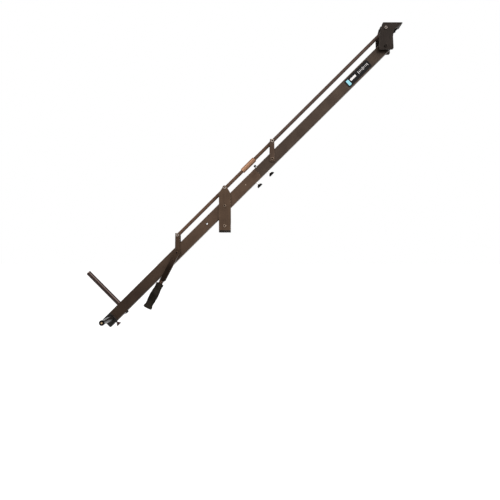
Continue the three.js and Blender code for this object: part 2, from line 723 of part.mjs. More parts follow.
function middleRodRear() {
  const shoulder = TURNBUCKLE_LOW - AXIAL_PLAY;
  const threadEnd = (LINK_STATION - THREAD_END_GAP) / 2;
  const end = { kind: 'tongue', pin: 0, inward: 1, shank: SMALL_SHANK };
  return joined(rod([end], [ROD_NECK, shoulder]), barAlong(ROD_THREAD, [shoulder - OVERRUN, threadEnd]));
}

function middleRodFront() {
  const shoulder = TURNBUCKLE_HIGH + AXIAL_PLAY;
  const threadEnd = (LINK_STATION + THREAD_END_GAP) / 2;
  const end = { kind: 'fork', pin: LINK_STATION, inward: -1, shank: SCREW_SHANK };
  return joined(
    rod([end], [shoulder, LINK_STATION - ROD_NECK]),
    barAlong(ROD_THREAD, [threadEnd, shoulder + OVERRUN]),
  );
}

function turnbuckle() {
  const outer = TURNBUCKLE / 2;
  const body = turned([
    [TURNBUCKLE_LOW, 0],
    [TURNBUCKLE_LOW, outer - TURNBUCKLE_CHAMFER],
    [TURNBUCKLE_LOW + TURNBUCKLE_CHAMFER, outer],
    [TURNBUCKLE_HIGH - TURNBUCKLE_CHAMFER, outer],
    [TURNBUCKLE_HIGH, outer - TURNBUCKLE_CHAMFER],
    [TURNBUCKLE_HIGH, 0],
  ]);
  return cut(body, barAlong(boreFor(ROD_THREAD), [0, LINK_STATION]));
}

// Links, in their own frame: upright, with the lower pin at the origin

function linkOutline() {
  const foot = LINK_FOOT / 2;
  const top = LINK_TOP / 2;
  const corner = LINK_FOOT_CORNER;
  const outline = new THREE.Shape();
  outline.moveTo(-top, CRANK_LENGTH + LINK_CREST);
  outline.lineTo(-foot, 0);
  outline.absarc(-foot + corner, -LINK_FOOT_DROP + corner, corner, Math.PI, Math.PI * 1.5);
  outline.absarc(foot - corner, -LINK_FOOT_DROP + corner, corner, Math.PI * 1.5, Math.PI * 2);
  outline.lineTo(foot, 0);
  outline.lineTo(top, CRANK_LENGTH + LINK_CREST);
  return outline;
}

// The plate on one side, with a boss at each pin that reaches what turns there.
function linkBody(side) {
  const inner = LINK_GAP / 2;
  const range = (low, high) => (side < 0 ? [-high, -low] : [low, high]);
  return joined(
    plate(linkOutline(), range(inner, LINK_OUTSIDE)),
    barAcross(LINK_FOOT_BOSS, range(BEAM_SIDE + PLAY, inner + PLAY)),
    barAcross(LINK_TOP_BOSS, range(FORK_SIDE + PLAY, inner + PLAY), 0, CRANK_LENGTH),
  );
}

function linkBores(play) {
  const through = [-LEVER_OUTSIDE, LEVER_OUTSIDE];
  return [0, CRANK_LENGTH].map((height) => barAcross(boreFor(SCREW_SHANK, play), through, 0, height));
}

function linkPlate(side) {
  return cut(linkBody(side), ...linkBores(PLAY));
}

// The near rear link is a bell crank: an arm runs down behind the lever.
function bellCrank() {
  const half = LINK_FOOT / 2 - PLAY;
  const [sine, cosine] = [Math.sin(LEVER_TILT), Math.cos(LEVER_TILT)];
  const place = (along, aside) => [-along * sine + aside * cosine, -along * cosine - aside * sine];
  const arm = plate(
    polygon([place(0, half), place(0, -half), place(LEVER_ARM, -half), place(LEVER_ARM, half)]),
    [-LINK_OUTSIDE, -LINK_GAP / 2],
  );
  const [screwX, screwZ] = place(LEVER_SCREW_REACH, 0);
  return cut(
    joined(linkBody(-1), arm),
    ...linkBores(PLAY),
    barAcross(boreFor(SMALL_SHANK, PLAY), [-LEVER_OUTSIDE, LEVER_OUTSIDE], screwX, screwZ),
  );
}

// Tilt handle, in the lever's frame: X down the lever from the rear link pin

function handleLever() {
  const half = LEVER_WIDTH / 2;
  const bar = plate(polygon([
    [-LEVER_HEEL, -half],
    [LEVER_REACH, -half],
    [LEVER_REACH, half - LEVER_BEVEL],
    [LEVER_REACH - LEVER_BEVEL, half],
    [-LEVER_HEEL, half],
  ]), [-LEVER_OUTSIDE, -LINK_OUTSIDE - PLAY]);
  const through = [-LEVER_OUTSIDE - OVERRUN, 0];
  const seat = barAlong(boreFor(HANDLE_ROD, PLAY), [-HANDLE_SEAT - OVERRUN, HANDLE_SEAT]);
  const placed = seat.transform(handlePlacement().toArray());
  return cut(
    bar,
    barAcross(boreFor(SCREW_SHANK, PLAY), through),
    barAcross(boreFor(SMALL_SHANK, PLAY), through, LEVER_SCREW_REACH),
    placed,
  );
}

// The handle rod's frame in the lever's frame, at the lever's lower end.
function handlePlacement() {
  const turn = new THREE.Matrix4().makeRotationZ(-HANDLE_SPLAY);
  const middle = -LINK_OUTSIDE - PLAY - LEVER_THICKNESS / 2;
  return new THREE.Matrix4().makeTranslation(LEVER_REACH, middle, -HANDLE_OFFSET).multiply(turn);
}

function leverScrew() {
  const face = -LEVER_OUTSIDE - PLAY;
  const mouth = face - SMALL_HEAD_HEIGHT;
  return cut(
    joined(
      barAcross(SMALL_HEAD, [mouth, face], LEVER_SCREW_REACH),
      barAcross(SMALL_SHANK, [face - PLAY, -LINK_GAP / 2], LEVER_SCREW_REACH),
    ),
    hexAcross(SMALL_SOCKET, [mouth - OVERRUN, mouth + SCREW_SOCKET_DEPTH], LEVER_SCREW_REACH),
  );
}

// The steel rod with its two collar rings, from inside the lever to inside the grip.
function handleRod() {
  const [shank, ring, groove] = [HANDLE_ROD / 2, COLLAR / 2, COLLAR_GROOVE / 2];
  const start = lift();
  const end = HANDLE_NECK - PLAY;
  const middle = (start + end) / 2;
  const half = COLLAR_GROOVE_LENGTH / 2;
  return turned([
    [-HANDLE_SEAT, 0],
    [-HANDLE_SEAT, shank],
    [start, shank],
    [start, ring],
    [middle - half, ring],
    [middle - half, groove],
    [middle + half, groove],
    [middle + half, ring],
    [end, ring],
    [end, shank],
    [HANDLE_NECK + GRIP_LENGTH * GRIP_BORE_SHARE - OVERRUN, shank],
    [HANDLE_NECK + GRIP_LENGTH * GRIP_BORE_SHARE - OVERRUN, 0],
  ], ROUND_STEPS);
}

// How far the splayed collar stands off, so that its rim clears the lever's end.
function lift() {
  return PLAY + (COLLAR / 2) * Math.sin(HANDLE_SPLAY);
}

function gripRadii() {
  return {
    flange: GRIP_TOP_FLANGE / 2,
    neck: GRIP_NECK / 2,
    belly: GRIP_BELLY / 2,
    waist: GRIP_WAIST / 2,
    end: GRIP_END_FLANGE / 2,
  };
}

// The grip's radii from its top to its end, at shares of its length.
const GRIP_PLACE_SHARES = [
  ['flange', 0],
  ['flange', 0.06],
  ['neck', 0.12],
  ['neck', 0.2],
  ['belly', 0.42],
  ['belly', 0.56],
  ['waist', 0.84],
  ['end', 0.92],
];

function grip() {
  const radii = gripRadii();
  const places = GRIP_PLACE_SHARES.map(([name, share]) => [HANDLE_NECK + GRIP_LENGTH * share, radii[name]]);
  const end = HANDLE_NECK + GRIP_LENGTH;
  const body = turned([
    [HANDLE_NECK, 0],
    ...places,
    [end - GRIP_END_ROUND, radii.end],
    [end, radii.end - GRIP_END_ROUND],
    [end, 0],
  ]);
  return cut(body, barAlong(boreFor(HANDLE_ROD, PLAY), [0, HANDLE_NECK + GRIP_LENGTH * GRIP_BORE_SHARE]));
}

// Camera head, in its own frame: upright, with the head pin at the origin

function headPlate(side) {
  const inner = HEAD_GAP / 2;
  const range = (low, high) => (side < 0 ? [-high, -low] : [low, high]);
  const outline = polygon([
    [-HEAD_FOOT_REAR, -HEAD_FOOT_DROP],
    [HEAD_FOOT_FRONT - HEAD_FOOT_BEVEL, -HEAD_FOOT_DROP + HEAD_FOOT_BEVEL / 2],
    [HEAD_FOOT_FRONT, -HEAD_FOOT_DROP + 2 * HEAD_FOOT_BEVEL],
    [HEAD_WAIST_FRONT, HEAD_WAIST_HEIGHT],
    [HEAD_BROW_FRONT, HEAD_BROW_HEIGHT],
    [PLATFORM_FRONT - PLATFORM_THICKNESS, HEAD_TOP_HEIGHT],
    [-HEAD_TOP_REAR, HEAD_TOP_HEIGHT],
    [-HEAD_WAIST_REAR, HEAD_WAIST_HEIGHT],
  ]);
  const through = [-HEAD_OUTSIDE - OVERRUN, HEAD_OUTSIDE + OVERRUN];
  return cut(
    joined(
      plate(outline, range(inner, HEAD_OUTSIDE)),
      barAcross(HEAD_FOOT_BOSS, range(BEAM_SIDE + PLAY, inner + PLAY)),
      barAcross(HEAD_TOP_BOSS, range(FORK_SIDE + PLAY, inner + PLAY), 0, CRANK_LENGTH),
    ),
    barAcross(boreFor(SCREW_SHANK, PLAY), through),
    barAcross(boreFor(SCREW_SHANK, PLAY), through, 0, CRANK_LENGTH),
  );
}

// The platform lies on the plates, and its two flanges hang inside them.
function cameraPlatform() {
  const low = HEAD_TOP_HEIGHT + PLAY;
  const high = low + PLATFORM_THICKNESS;
  const flangeOuter = HEAD_GAP / 2 - PLAY;
  const flangeInner = flangeOuter - PLATFORM_THICKNESS;
  const flangeLength = [-PLATFORM_REAR, PLATFORM_FRONT - PLATFORM_FLANGE - PLATFORM_FLANGE_INSET];
  const flangeHeight = [low - PLATFORM_FLANGE, low + PLAY];
  const notch = block(
    [-PLATFORM_REAR - OVERRUN, -PLATFORM_NOTCH_FLOOR],
    [-PLATFORM_NOTCH / 2, PLATFORM_NOTCH / 2],
    [low - OVERRUN, high + OVERRUN],
  );
  return cut(
    joined(
      block([-PLATFORM_REAR, PLATFORM_FRONT], [-HEAD_OUTSIDE, HEAD_OUTSIDE], [low, high]),
      block(flangeLength, [-flangeOuter, -flangeInner], flangeHeight),
      block(flangeLength, [flangeInner, flangeOuter], flangeHeight),
    ),
    notch,
    barUp(boreFor(CAMERA_SCREW), [low - OVERRUN, high + OVERRUN], CAMERA_SCREW_FRONT),
  );
}

function cameraScrew() {
  const underside = HEAD_TOP_HEIGHT + PLAY;
  const top = underside - CAMERA_KNOB_DROP;
  const low = top - CAMERA_KNOB_HEIGHT;
  const radius = CAMERA_KNOB / 2;
  const knob = new THREE.LatheGeometry([
    new THREE.Vector2(0, low),
    new THREE.Vector2(radius - CAMERA_KNOB_CHAMFER, low),
    new THREE.Vector2(radius, low + CAMERA_KNOB_CHAMFER),
    new THREE.Vector2(radius, top - CAMERA_KNOB_CHAMFER),
    new THREE.Vector2(radius - CAMERA_KNOB_CHAMFER, top),
    new THREE.Vector2(0, top),
  ], FINE_STEPS).rotateX(Math.PI / 2).translate(CAMERA_SCREW_FRONT, 0, 0);
  const tip = underside + PLATFORM_THICKNESS - CAMERA_SCREW_RECESS;
  return joined(solidOf(knob), barUp(CAMERA_SCREW, [top - OVERRUN, tip], CAMERA_SCREW_FRONT));
}

// Assembly

const crane = new THREE.Group();

// A frame that holds pieces at a place in its parent.
function frame(parent, x, y, z, tilt = 0) {
  const group = new THREE.Group();
  group.position.set(x, y, z);
  group.rotation.y = -tilt;
  parent.add(group);
  return group;
}

// An upright frame at a station of the beam.
function frameAtStation(station) {
  const [x, z] = [station * Math.cos(BEAM_TILT), station * Math.sin(BEAM_TILT)];
  return frame(crane, x, 0, PIVOT_HEIGHT + z);
}

function addBaseAndPost() {
  const pivot = frame(crane, 0, 0, PIVOT_HEIGHT);
  const upperPin = frame(crane, 0, 0, PIVOT_HEIGHT + CRANK_LENGTH);
  const bushEnd = BEAM_SIDE + MAIN_BUSH_PROUD + PLAY;
  const foot = frame(crane, 0, 0, FOOT_SCREW_HEIGHT);
  const nutFace = POST_OUTSIDE + PLAY;
  crane.add(
    piece('base_plate', basePlate(), blackPlastic),
    piece('pan_stud', panStud(), brightSteel),
    piece('thrust_washer', thrustWasher(), whiteNylon),
    piece('pan_nut', panNut(), brightSteel),
    piece('post_block', postBlock(), bronzeAnodised),
    piece('post_plate_near', postPlate(-1), bronzeAnodised),
    piece('post_plate_far', postPlate(1), bronzeAnodised),
  );
  foot.add(
    piece('foot_screw_near', footScrew(-1), bronzeSteel),
    piece('foot_screw_far', footScrew(1), bronzeSteel),
  );
  pivot.add(
    piece(
      'main_pivot_screw',
      postScrew(SCREW_SHANK, SCREW_HEAD, SCREW_HEAD_HEIGHT, SCREW_SOCKET, SCREW_NUT_HEIGHT),
      bronzeSteel,
    ),
    piece(
      'main_pivot_nut',
      nutAcross(SCREW_NUT_FLATS, SCREW_SHANK, [nutFace, nutFace + SCREW_NUT_HEIGHT]),
      brightSteel,
    ),
    piece('pivot_spacer_near', spacer(PIVOT_SPACER, SCREW_SHANK, -1, bushEnd), blackPlastic),
    piece('pivot_spacer_far', spacer(PIVOT_SPACER, SCREW_SHANK, 1, bushEnd), blackPlastic),
  );
  upperPin.add(
    piece(
      'post_upper_screw',
      postScrew(SMALL_SHANK, SMALL_HEAD, SMALL_HEAD_HEIGHT, SMALL_SOCKET, SMALL_NUT_HEIGHT),
      brightSteel,
    ),
    piece(
      'post_upper_nut',
      nutAcross(SMALL_NUT_FLATS, SMALL_SHANK, [nutFace, nutFace + SMALL_NUT_HEIGHT]),
      brightSteel,
    ),
    piece('upper_spacer_near', spacer(TOP_SPACER, SMALL_SHANK, -1, FORK_SIDE + PLAY), blackPlastic),
    piece('upper_spacer_far', spacer(TOP_SPACER, SMALL_SHANK, 1, FORK_SIDE + PLAY), blackPlastic),
  );
}

function addBeam() {
  const beam = frame(crane, 0, 0, PIVOT_HEIGHT, BEAM_TILT);
  const frontPlug = beamPlug(HEAD_STATION + FRONT_OVERHANG, -1, FRONT_PLUG_PROUD, FRONT_PLUG_DEPTH);
  beam.add(
    piece('rear_beam', rearBeam(), bronzeAnodised),
    piece('front_beam', frontBeam(), bronzeAnodised),
    piece('splice_sleeve', spliceSleeve(), darkAnodised),
    piece('main_bush', mainBush(), whiteNylon),
    piece('rear_end_block', endBlock(), blackPlastic),
    piece('front_end_plug', frontPlug, blackPlastic),
    piece('weight_bar', weightBar(), bronzeSteel),
    piece('weight_bar_bolt', weightBarBolt(), blackPlastic),
    piece('push_bar', pushBar(), darkSteel),
    piece('push_bar_cap_near', pushBarCap(-1), blackPlastic),
    piece('push_bar_cap_far', pushBarCap(1), blackPlastic),
  );
  addWingScrews(beam);
}

// The wing screws stand on the beam's lower face, but the top one, whose wing lies across the beam.
function addWingScrews(beam) {
  const screws = [
    ['rear', SPLICE_STATION - REAR_STUD_BACK, LOW_KNOB_STANDOFF, KNOB_HEIGHT],
    ['front', SPLICE_STATION + FRONT_STUD_AHEAD, LOW_KNOB_STANDOFF, KNOB_HEIGHT],
    [
      'top',
      SPLICE_STATION + TOP_STUD_AHEAD,
      TURNBUCKLE_SPACE * TOP_STANDOFF_SHARE,
      TURNBUCKLE_SPACE * TOP_HEIGHT_SHARE,
    ],
  ];
  for (const [place, station, standoff, height] of screws) {
    const stand = frame(beam, station, 0, 0);
    if (place === 'top') stand.rotation.z = Math.PI / 2;
    else stand.rotation.x = Math.PI;
    stand.add(
      piece(`splice_knob_${place}`, spliceKnob(standoff, height), blackPlastic),
      piece(`splice_stud_${place}`, spliceStud(standoff, height), brightSteel),
    );
  }
  const clamp = frame(beam, -PUSH_BAR_STATION, 0, 0);
  clamp.rotation.x = Math.PI;
  clamp.add(piece('push_bar_clamp_screw', clampScrew(), darkAnodised));
}

function addRods() {
  const rods = frame(crane, 0, 0, PIVOT_HEIGHT + CRANK_LENGTH, BEAM_TILT);
  rods.add(
    piece('rear_rod', rearRod(), bronzeAnodised),
    piece('middle_rod_rear', middleRodRear(), bronzeAnodised),
    piece('middle_rod_front', middleRodFront(), bronzeAnodised),
    piece('turnbuckle', turnbuckle(), tanAnodised),
    piece('front_rod', frontRod(), bronzeAnodised),
  );
}

function addLinks() {
  const rear = frameAtStation(-LINK_STATION);
  const front = frameAtStation(LINK_STATION);
  rear.add(
    piece('rear_link_near', bellCrank(), bronzeAnodised),
    piece('rear_link_far', linkPlate(1), bronzeAnodised),
    piece('rear_link_pin', largePin(LEVER_OUTSIDE, LINK_OUTSIDE), bronzeSteel),
  );
  front.add(
    piece('front_link_near', linkPlate(-1), bronzeAnodised),
    piece('front_link_far', linkPlate(1), bronzeAnodised),
    piece('front_link_pin', largePin(LINK_OUTSIDE), bronzeSteel),
  );
  frame(rear, 0, 0, CRANK_LENGTH).add(piece('rear_link_upper_pin', largePin(LINK_OUTSIDE), brightSteel));
  frame(front, 0, 0, CRANK_LENGTH).add(piece('front_link_upper_pin', largePin(LINK_OUTSIDE), brightSteel));
  addHandle(rear);
}

function addHandle(rear) {
  const lever = frame(rear, 0, 0, 0, -Math.PI / 2 - LEVER_TILT);
  const handle = new THREE.Group();
  handle.applyMatrix4(handlePlacement());
  lever.add(
    piece('handle_lever', handleLever(), darkAnodised),
    piece('lever_screw', leverScrew(), bronzeSteel),
    handle,
  );
  handle.add(piece('handle_rod', handleRod(), bronzeSteel), piece('handle_grip', grip(), gripRubber));
}

function addHead() {
  const head = frameAtStation(HEAD_STATION);
  head.add(
    piece('head_plate_near', headPlate(-1), headBlack),
    piece('head_plate_far', headPlate(1), headBlack),
    piece('camera_platform', cameraPlatform(), headBlack),
    piece('camera_screw', cameraScrew(), blackPlastic),
    piece('head_pin', largePin(HEAD_OUTSIDE), headBlack),
  );
  frame(head, 0, 0, CRANK_LENGTH).add(piece('head_upper_pin', largePin(HEAD_OUTSIDE), brightSteel));
}

addBaseAndPost();
addBeam();
addRods();
addLinks();
addHead();

export default crane;
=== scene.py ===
import json
import math

import bmesh
import bpy
from mathutils import Matrix, Vector
from mathutils.geometry import tessellate_polygon


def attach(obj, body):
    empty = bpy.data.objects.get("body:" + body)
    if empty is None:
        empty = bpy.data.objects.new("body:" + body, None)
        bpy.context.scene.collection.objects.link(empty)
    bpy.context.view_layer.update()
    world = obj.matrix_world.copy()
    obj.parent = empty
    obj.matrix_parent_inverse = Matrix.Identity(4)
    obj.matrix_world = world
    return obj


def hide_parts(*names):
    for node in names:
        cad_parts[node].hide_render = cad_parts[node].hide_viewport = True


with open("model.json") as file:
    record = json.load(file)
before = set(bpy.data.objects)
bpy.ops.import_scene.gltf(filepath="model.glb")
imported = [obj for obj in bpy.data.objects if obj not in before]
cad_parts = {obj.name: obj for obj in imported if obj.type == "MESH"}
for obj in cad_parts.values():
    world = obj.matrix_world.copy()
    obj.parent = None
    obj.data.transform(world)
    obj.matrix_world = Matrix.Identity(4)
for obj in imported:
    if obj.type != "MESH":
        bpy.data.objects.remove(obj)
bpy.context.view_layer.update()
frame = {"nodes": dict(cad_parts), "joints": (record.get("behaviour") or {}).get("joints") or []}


# Camera: it stands square to the crane's near side, with the post a little left of the middle. It
# sees the rear end at lower left and the camera head at upper right.
def put(name, data):
    """A new object in the scene."""
    made = bpy.data.objects.new(name, data)
    bpy.context.scene.collection.objects.link(made)
    return made


camera_data = bpy.data.cameras.new("camera")
camera_data.lens = 38.64
camera_data.sensor_width = 36
camera = put("camera", camera_data)
camera.location = (0.1305, -2.8, -0.0918)
camera.rotation_euler = (math.radians(90), 0, 0)
bpy.context.scene.camera = camera
bpy.context.scene.view_settings.view_transform = "Standard"


# Studio: a white surround, a key light from the upper left and a wider, softer one from the right.
# The rays that show the surround itself find plain white, and the others an even dim light.
def wired(tree, kind, inputs, **settings):
    """The outputs of a new shader node, whose inputs are each given a value or joined to an output."""
    node = tree.nodes.new("ShaderNode" + kind)
    for setting, value in settings.items():
        setattr(node, setting, value)
    for name, value in inputs.items():
        if isinstance(value, bpy.types.NodeSocket):
            tree.links.new(value, node.inputs[name])
        else:
            node.inputs[name].default_value = value
    return node.outputs


def straight_rays(tree):
    """1 for the camera's rays and for mirrored and bent ones, 0 for all others."""
    path = wired(tree, "LightPath", {})
    seen = path["Is Camera Ray"]
    for kind in ("Is Glossy Ray", "Is Transmission Ray"):
        seen = wired(tree, "Math", {0: seen, 1: path[kind]}, operation="MAXIMUM")[0]
    return seen


def between(tree, factor, low, high):
    """The factor 0 to 1 carried to the values low to high."""
    return wired(tree, "MapRange", {"Value": factor, "To Min": low, "To Max": high})[0]


ambient_light = 0.3
studio = bpy.data.worlds.new("studio")
studio.use_nodes = True
bpy.context.scene.world = studio
surround = studio.node_tree.nodes["Background"].inputs
surround["Color"].default_value = (1, 1, 1, 1)
surround_strength = between(studio.node_tree, straight_rays(studio.node_tree), ambient_light, 1)
studio.node_tree.links.new(surround_strength, surround["Strength"])
for lamp_name, strength, spread, turn in (
    ("key_light", 1.25, 12, (50, 0, -24)), ("side_light", 1.9, 34, (57, 0, 40)),
):
    light = bpy.data.lights.new(lamp_name, "SUN")
    light.energy = strength
    light.angle = math.radians(spread)
    put(lamp_name, light).rotation_euler = [math.radians(angle) for angle in turn]


# Floor: a wide white sheet, well below the crane. It glows for the rays that see it straight, and
# keeps a faint shadow.
floor_level = -1.29
floor_reach = 40
floor_white = 0.9
floor_glow = 0.36
floor_mesh = bpy.data.meshes.new("floor")
floor_corners = [
    (x * floor_reach, y * floor_reach, floor_level) for x, y in ((-1, -1), (1, -1), (1, 1), (-1, 1))
]
floor_mesh.from_pydata(floor_corners, [], [(0, 1, 2, 3)])
floor_paint = bpy.data.materials.new("floor_white")
floor_paint.use_nodes = True
floor_tree = floor_paint.node_tree
floor_tree.nodes.clear()
matt = wired(floor_tree, "BsdfDiffuse", {"Color": (floor_white, floor_white, floor_white, 1)})
glow_strength = between(floor_tree, straight_rays(floor_tree), 0, floor_glow)
glow = wired(floor_tree, "Emission", {"Strength": glow_strength})
lit = wired(floor_tree, "AddShader", {0: matt[0], 1: glow[0]})
wired(floor_tree, "OutputMaterial", {"Surface": lit[0]})
floor_mesh.materials.append(floor_paint)
put("floor", floor_mesh)


# Base plate: a black painted steel plate, as wide as the post, that the whole crane stands on. It
# is cut from bar with its corners rounded. The crane turns on the stud that stands through it.
def extent(node, place):
    """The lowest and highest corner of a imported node, measured in the frame of a place."""
    back = place.inverted()
    corners = [back @ vertex.co for vertex in frame["nodes"][node].data.vertices]
    low = Vector([min(places) for places in zip(*corners)])
    high = Vector([max(places) for places in zip(*corners)])
    return low, high


def middle(node, place):
    """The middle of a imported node, in the frame of a place."""
    low, high = extent(node, place)
    return (low + high) / 2


def rounded(width, height, corner, steps=6):
    """A rectangle about the origin with round corners, as a ring of points."""
    ring = []
    for quarter in range(4):
        across = (1, -1, -1, 1)[quarter] * (width / 2 - corner)
        up = (1, 1, -1, -1)[quarter] * (height / 2 - corner)
        for step in range(steps + 1):
            turn = math.pi / 2 * (quarter + step / steps)
            ring.append(Vector((across + corner * math.cos(turn), up + corner * math.sin(turn))))
    return ring


def inset(ring, depth):
    """A ring drawn in to its left by a depth, square to its sides."""
    drawn = []
    for here, point in enumerate(ring):
        back = (point - ring[here - 1]).normalized()
        ahead = (ring[(here + 1) % len(ring)] - point).normalized()
        square = Vector((-back.y - ahead.y, back.x + ahead.x)).normalized()
        lean = max(0.4, square.dot(Vector((-back.y, back.x))))
        drawn.append(point + square * depth / lean)
    return drawn


def laid(at, across, up, along):
    """A point by its place along an axis and by its two other coordinates."""
    return {"X": (at, across, up), "Y": (across, at, up), "Z": (across, up, at)}[along]


def meshed(solid):
    """The mesh of a closed form, with its faces turned outwards."""
    bmesh.ops.recalc_face_normals(solid, faces=solid.faces)
    mesh = bpy.data.meshes.new("form")
    solid.to_mesh(mesh)
    solid.free()
    return mesh


def slab(ring, low, high, along, holes=(), edge=0.0006):
    """A ring drawn out along X, Y or Z, with its rims rounded over and marked as rubbed."""
    soft = edge * (1 - math.sin(math.pi / 4))
    steps = [(low, edge), (low + soft, soft), (low + edge, 0)]
    steps += [(high - edge, 0), (high - soft, soft), (high, edge)]
    solid = bmesh.new()
    rubbed = solid.loops.layers.float.new("rubbed")
    corners = [
        [[solid.verts.new(laid(at, *point, along)) for point in inset(one, depth)] for at, depth in steps]
        for one in [ring, *[hole[::-1] for hole in holes]]
    ]
    for layers in corners:
        for level, (lower, upper) in enumerate(zip(layers, layers[1:])):
            for here in range(len(lower)):
                after = (here + 1) % len(lower)
                side = solid.faces.new((lower[here], lower[after], upper[after], upper[here]))
                for loop in side.loops:
                    loop[rubbed] = 0 if level == len(steps) // 2 - 1 else 1
    for level in (0, -1):
        rims = [layers[level] for layers in corners]
        points = [vertex for rim in rims for vertex in rim]
        for triangle in tessellate_polygon([[vertex.co for vertex in rim] for rim in rims]):
            solid.faces.new([points[corner] for corner in triangle])
    return meshed(solid)


def linear(shade):
    """A colour given as 8-bit shades, as the renderer takes it."""
    shares = [part / 255 for part in shade]
    return [s / 12.92 if s < 0.0405 else ((s + 0.055) / 1.055) ** 2.4 for s in shares] + [1]


def finish(
    name, dark, light, roughness, metallic, grain, relief=0.12, rub=None, shine=0.5, painted_shade_span=None, painted_socket_shade=None,
):
    """A finish that clouds between two shades, with a fine grain and edges rubbed to a third one.
    A painted shade span: the places along X over which painted shade darkens it, and the last strength.
    The painted socket shade is a colour painted at the bottom of a socket, as painted shade."""
    material = bpy.data.materials.new(name)
    material.use_nodes = True
    tree = material.node_tree
    shader = tree.nodes["Principled BSDF"].inputs
    shader["Metallic"].default_value = metallic
    shader["Specular IOR Level"].default_value = shine

    def mixed(factor, first, second):
        mix = wired(tree, "Mix", {"Factor": factor, "A": first, "B": second}, data_type="RGBA")
        return mix["Result"]

    def noise(place, **inputs):
        return wired(tree, "TexNoise", {"Vector": place, **inputs})["Fac"]

    def marked(layer):
        return wired(tree, "Attribute", {}, attribute_name=layer)["Fac"]

    place = wired(tree, "TexCoord", {})["Object"]
    scale = grain if isinstance(grain, tuple) else (grain, grain, grain)
    stretched = wired(tree, "Mapping", {"Vector": place, "Scale": scale})[0]
    streaks = noise(stretched, Scale=1, Detail=6, Roughness=0.65)
    clouds = noise(place, Scale=22, Detail=7, Roughness=0.6)
    both = wired(tree, "Math", {0: streaks, 1: clouds}, operation="ADD")[0]
    spread = wired(tree, "MapRange", {"Value": both, "From Min": 0.75, "From Max": 1.25})[0]
    colour = mixed(spread, linear(dark), linear(light))
    # Painted shade: the colour darkens along X between two places.
    if painted_shade_span:
        along = wired(tree, "SeparateXYZ", {0: place})["X"]
        ends = {"From Min": painted_shade_span[0], "From Max": painted_shade_span[1], "To Min": 1, "To Max": painted_shade_span[2]}
        strength = wired(tree, "MapRange", {"Value": along, **ends})[0]
        colour = wired(tree, "VectorMath", {0: colour, "Scale": strength}, operation="SCALE")[0]
    if rub:
        ends = {"From Min": 0.42, "From Max": 0.62, "To Max": 0.6}
        patches = wired(tree, "MapRange", {"Value": clouds, **ends})[0]
        bare = wired(tree, "Math", {0: marked("rubbed"), 1: patches}, operation="MULTIPLY")[0]
        colour = mixed(bare, colour, linear(rub))
    # Painted shade: the bottom of a socket is darkened, where shade falls.
    if painted_socket_shade:
        colour = mixed(marked("painted_socket_shade"), colour, linear(painted_socket_shade))
    tree.links.new(colour, shader["Base Color"])
    tree.links.new(between(tree, streaks, roughness - 0.12, roughness + 0.12), shader["Roughness"])
    bump = wired(tree, "Bump", {"Strength": relief, "Distance": 0.0004, "Height": streaks})
    tree.links.new(bump[0], shader["Normal"])
    return material


def add(name, mesh, material, place, body, slot, *nodes):
    """A finished piece in its place on a body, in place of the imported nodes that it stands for."""
    mesh.name = name
    mesh.shade_smooth()
    mesh.set_sharp_from_angle(angle=math.radians(50))
    mesh.materials.append(material)
    made = put(name, mesh)
    made.matrix_world = place
    made.modifiers.new("even_shading", "WEIGHTED_NORMAL").keep_sharp = True
    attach(made, body)
    if nodes:
        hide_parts(*nodes)


def plate(name, ring, along, material, place, body, slot, node, holes=(), edge=0.0007):
    """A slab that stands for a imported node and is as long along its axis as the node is."""
    axis = "XYZ".index(along)
    low, high = extent(node, place)
    add(name, slab(ring, low[axis], high[axis], along, holes, edge), material, place, body, slot, node)


ground = Matrix.Identity(4)
black_paint = finish(
    "black_paint", (20, 16, 12), (31, 25, 19), 0.5, 0, grain=700, relief=0.25, rub=(86, 80, 76), shine=0.12,
)
plate_low, plate_high = extent("base_plate", ground)
plate_size = plate_high - plate_low
plate_corner = 0.004
block_edge = 0.0008
plate(
    "tripod_plate", rounded(plate_size.x, plate_size.y, plate_corner), "Z",
    black_paint, ground, "base", "black_plastic", "base_plate", edge=block_edge,
)


# Pan stud and nut: a turned steel stud in the base plate, with a threaded hole in its foot. The
# post's block turns on it over a nylon washer, and a zinc-plated nut holds the block down.
def turned(along, *profile, steps=64):
    """A turned piece. Each point of its profile is a place along the axis and a radius, which may be
    a function of the turn where the surface is threaded or knurled."""
    widest_chamfer = 0.004
    solid = bmesh.new()
    rubbed = solid.loops.layers.float.new("rubbed")
    turns = [2 * math.pi * step / steps for step in range(steps)]
    rings = []
    for at, radius in profile:
        reach = radius if callable(radius) else lambda turn, fixed=radius: fixed
        rings.append([
            solid.verts.new(laid(at, reach(turn) * math.cos(turn), reach(turn) * math.sin(turn), along))
            for turn in (turns[:1] if radius == 0 else turns)
        ])
    for lower, upper, (at, radius), (to, next_radius) in zip(rings, rings[1:], profile, profile[1:]):
        plain = not (callable(radius) or callable(next_radius))
        chamfer = plain and at != to and radius != next_radius
        small = chamfer and abs(to - at) + abs(next_radius - radius) < widest_chamfer
        for here in range(steps):
            after = (here + 1) % steps
            near = lower if len(lower) == 1 else [lower[here], lower[after]]
            far = upper if len(upper) == 1 else [upper[after], upper[here]]
            if len(near) + len(far) > 2:
                for loop in solid.faces.new(near + far).loops:
                    loop[rubbed] = 1 if small else 0
    return meshed(solid)


def thread(radius, low, high, pitch, depth):
    """The profile of a screw thread, from low to high along the axis."""
    count = max(2, round(abs(high - low) / pitch * 6))
    rings = []
    for step in range(count + 1):
        at = low + (high - low) * step / count

        def groove(turn, at=at):
            share = (at / pitch - turn / (2 * math.pi)) % 1
            return radius - depth * abs(2 * share - 1)

        rings.append((at, groove))
    return rings


def circle(radius, steps=48):
    turns = [2 * math.pi * step / steps for step in range(steps)]
    return [Vector((radius * math.cos(turn), radius * math.sin(turn))) for turn in turns]


def hexagon(flats):
    """A six-sided ring by its width across the flats."""
    return circle(flats / 2 / math.cos(math.pi / 6), 6)


def coat(node, material):
    """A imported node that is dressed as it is, in a finish."""
    slots = frame["nodes"][node].data.materials
    slots.clear()
    slots.append(material)


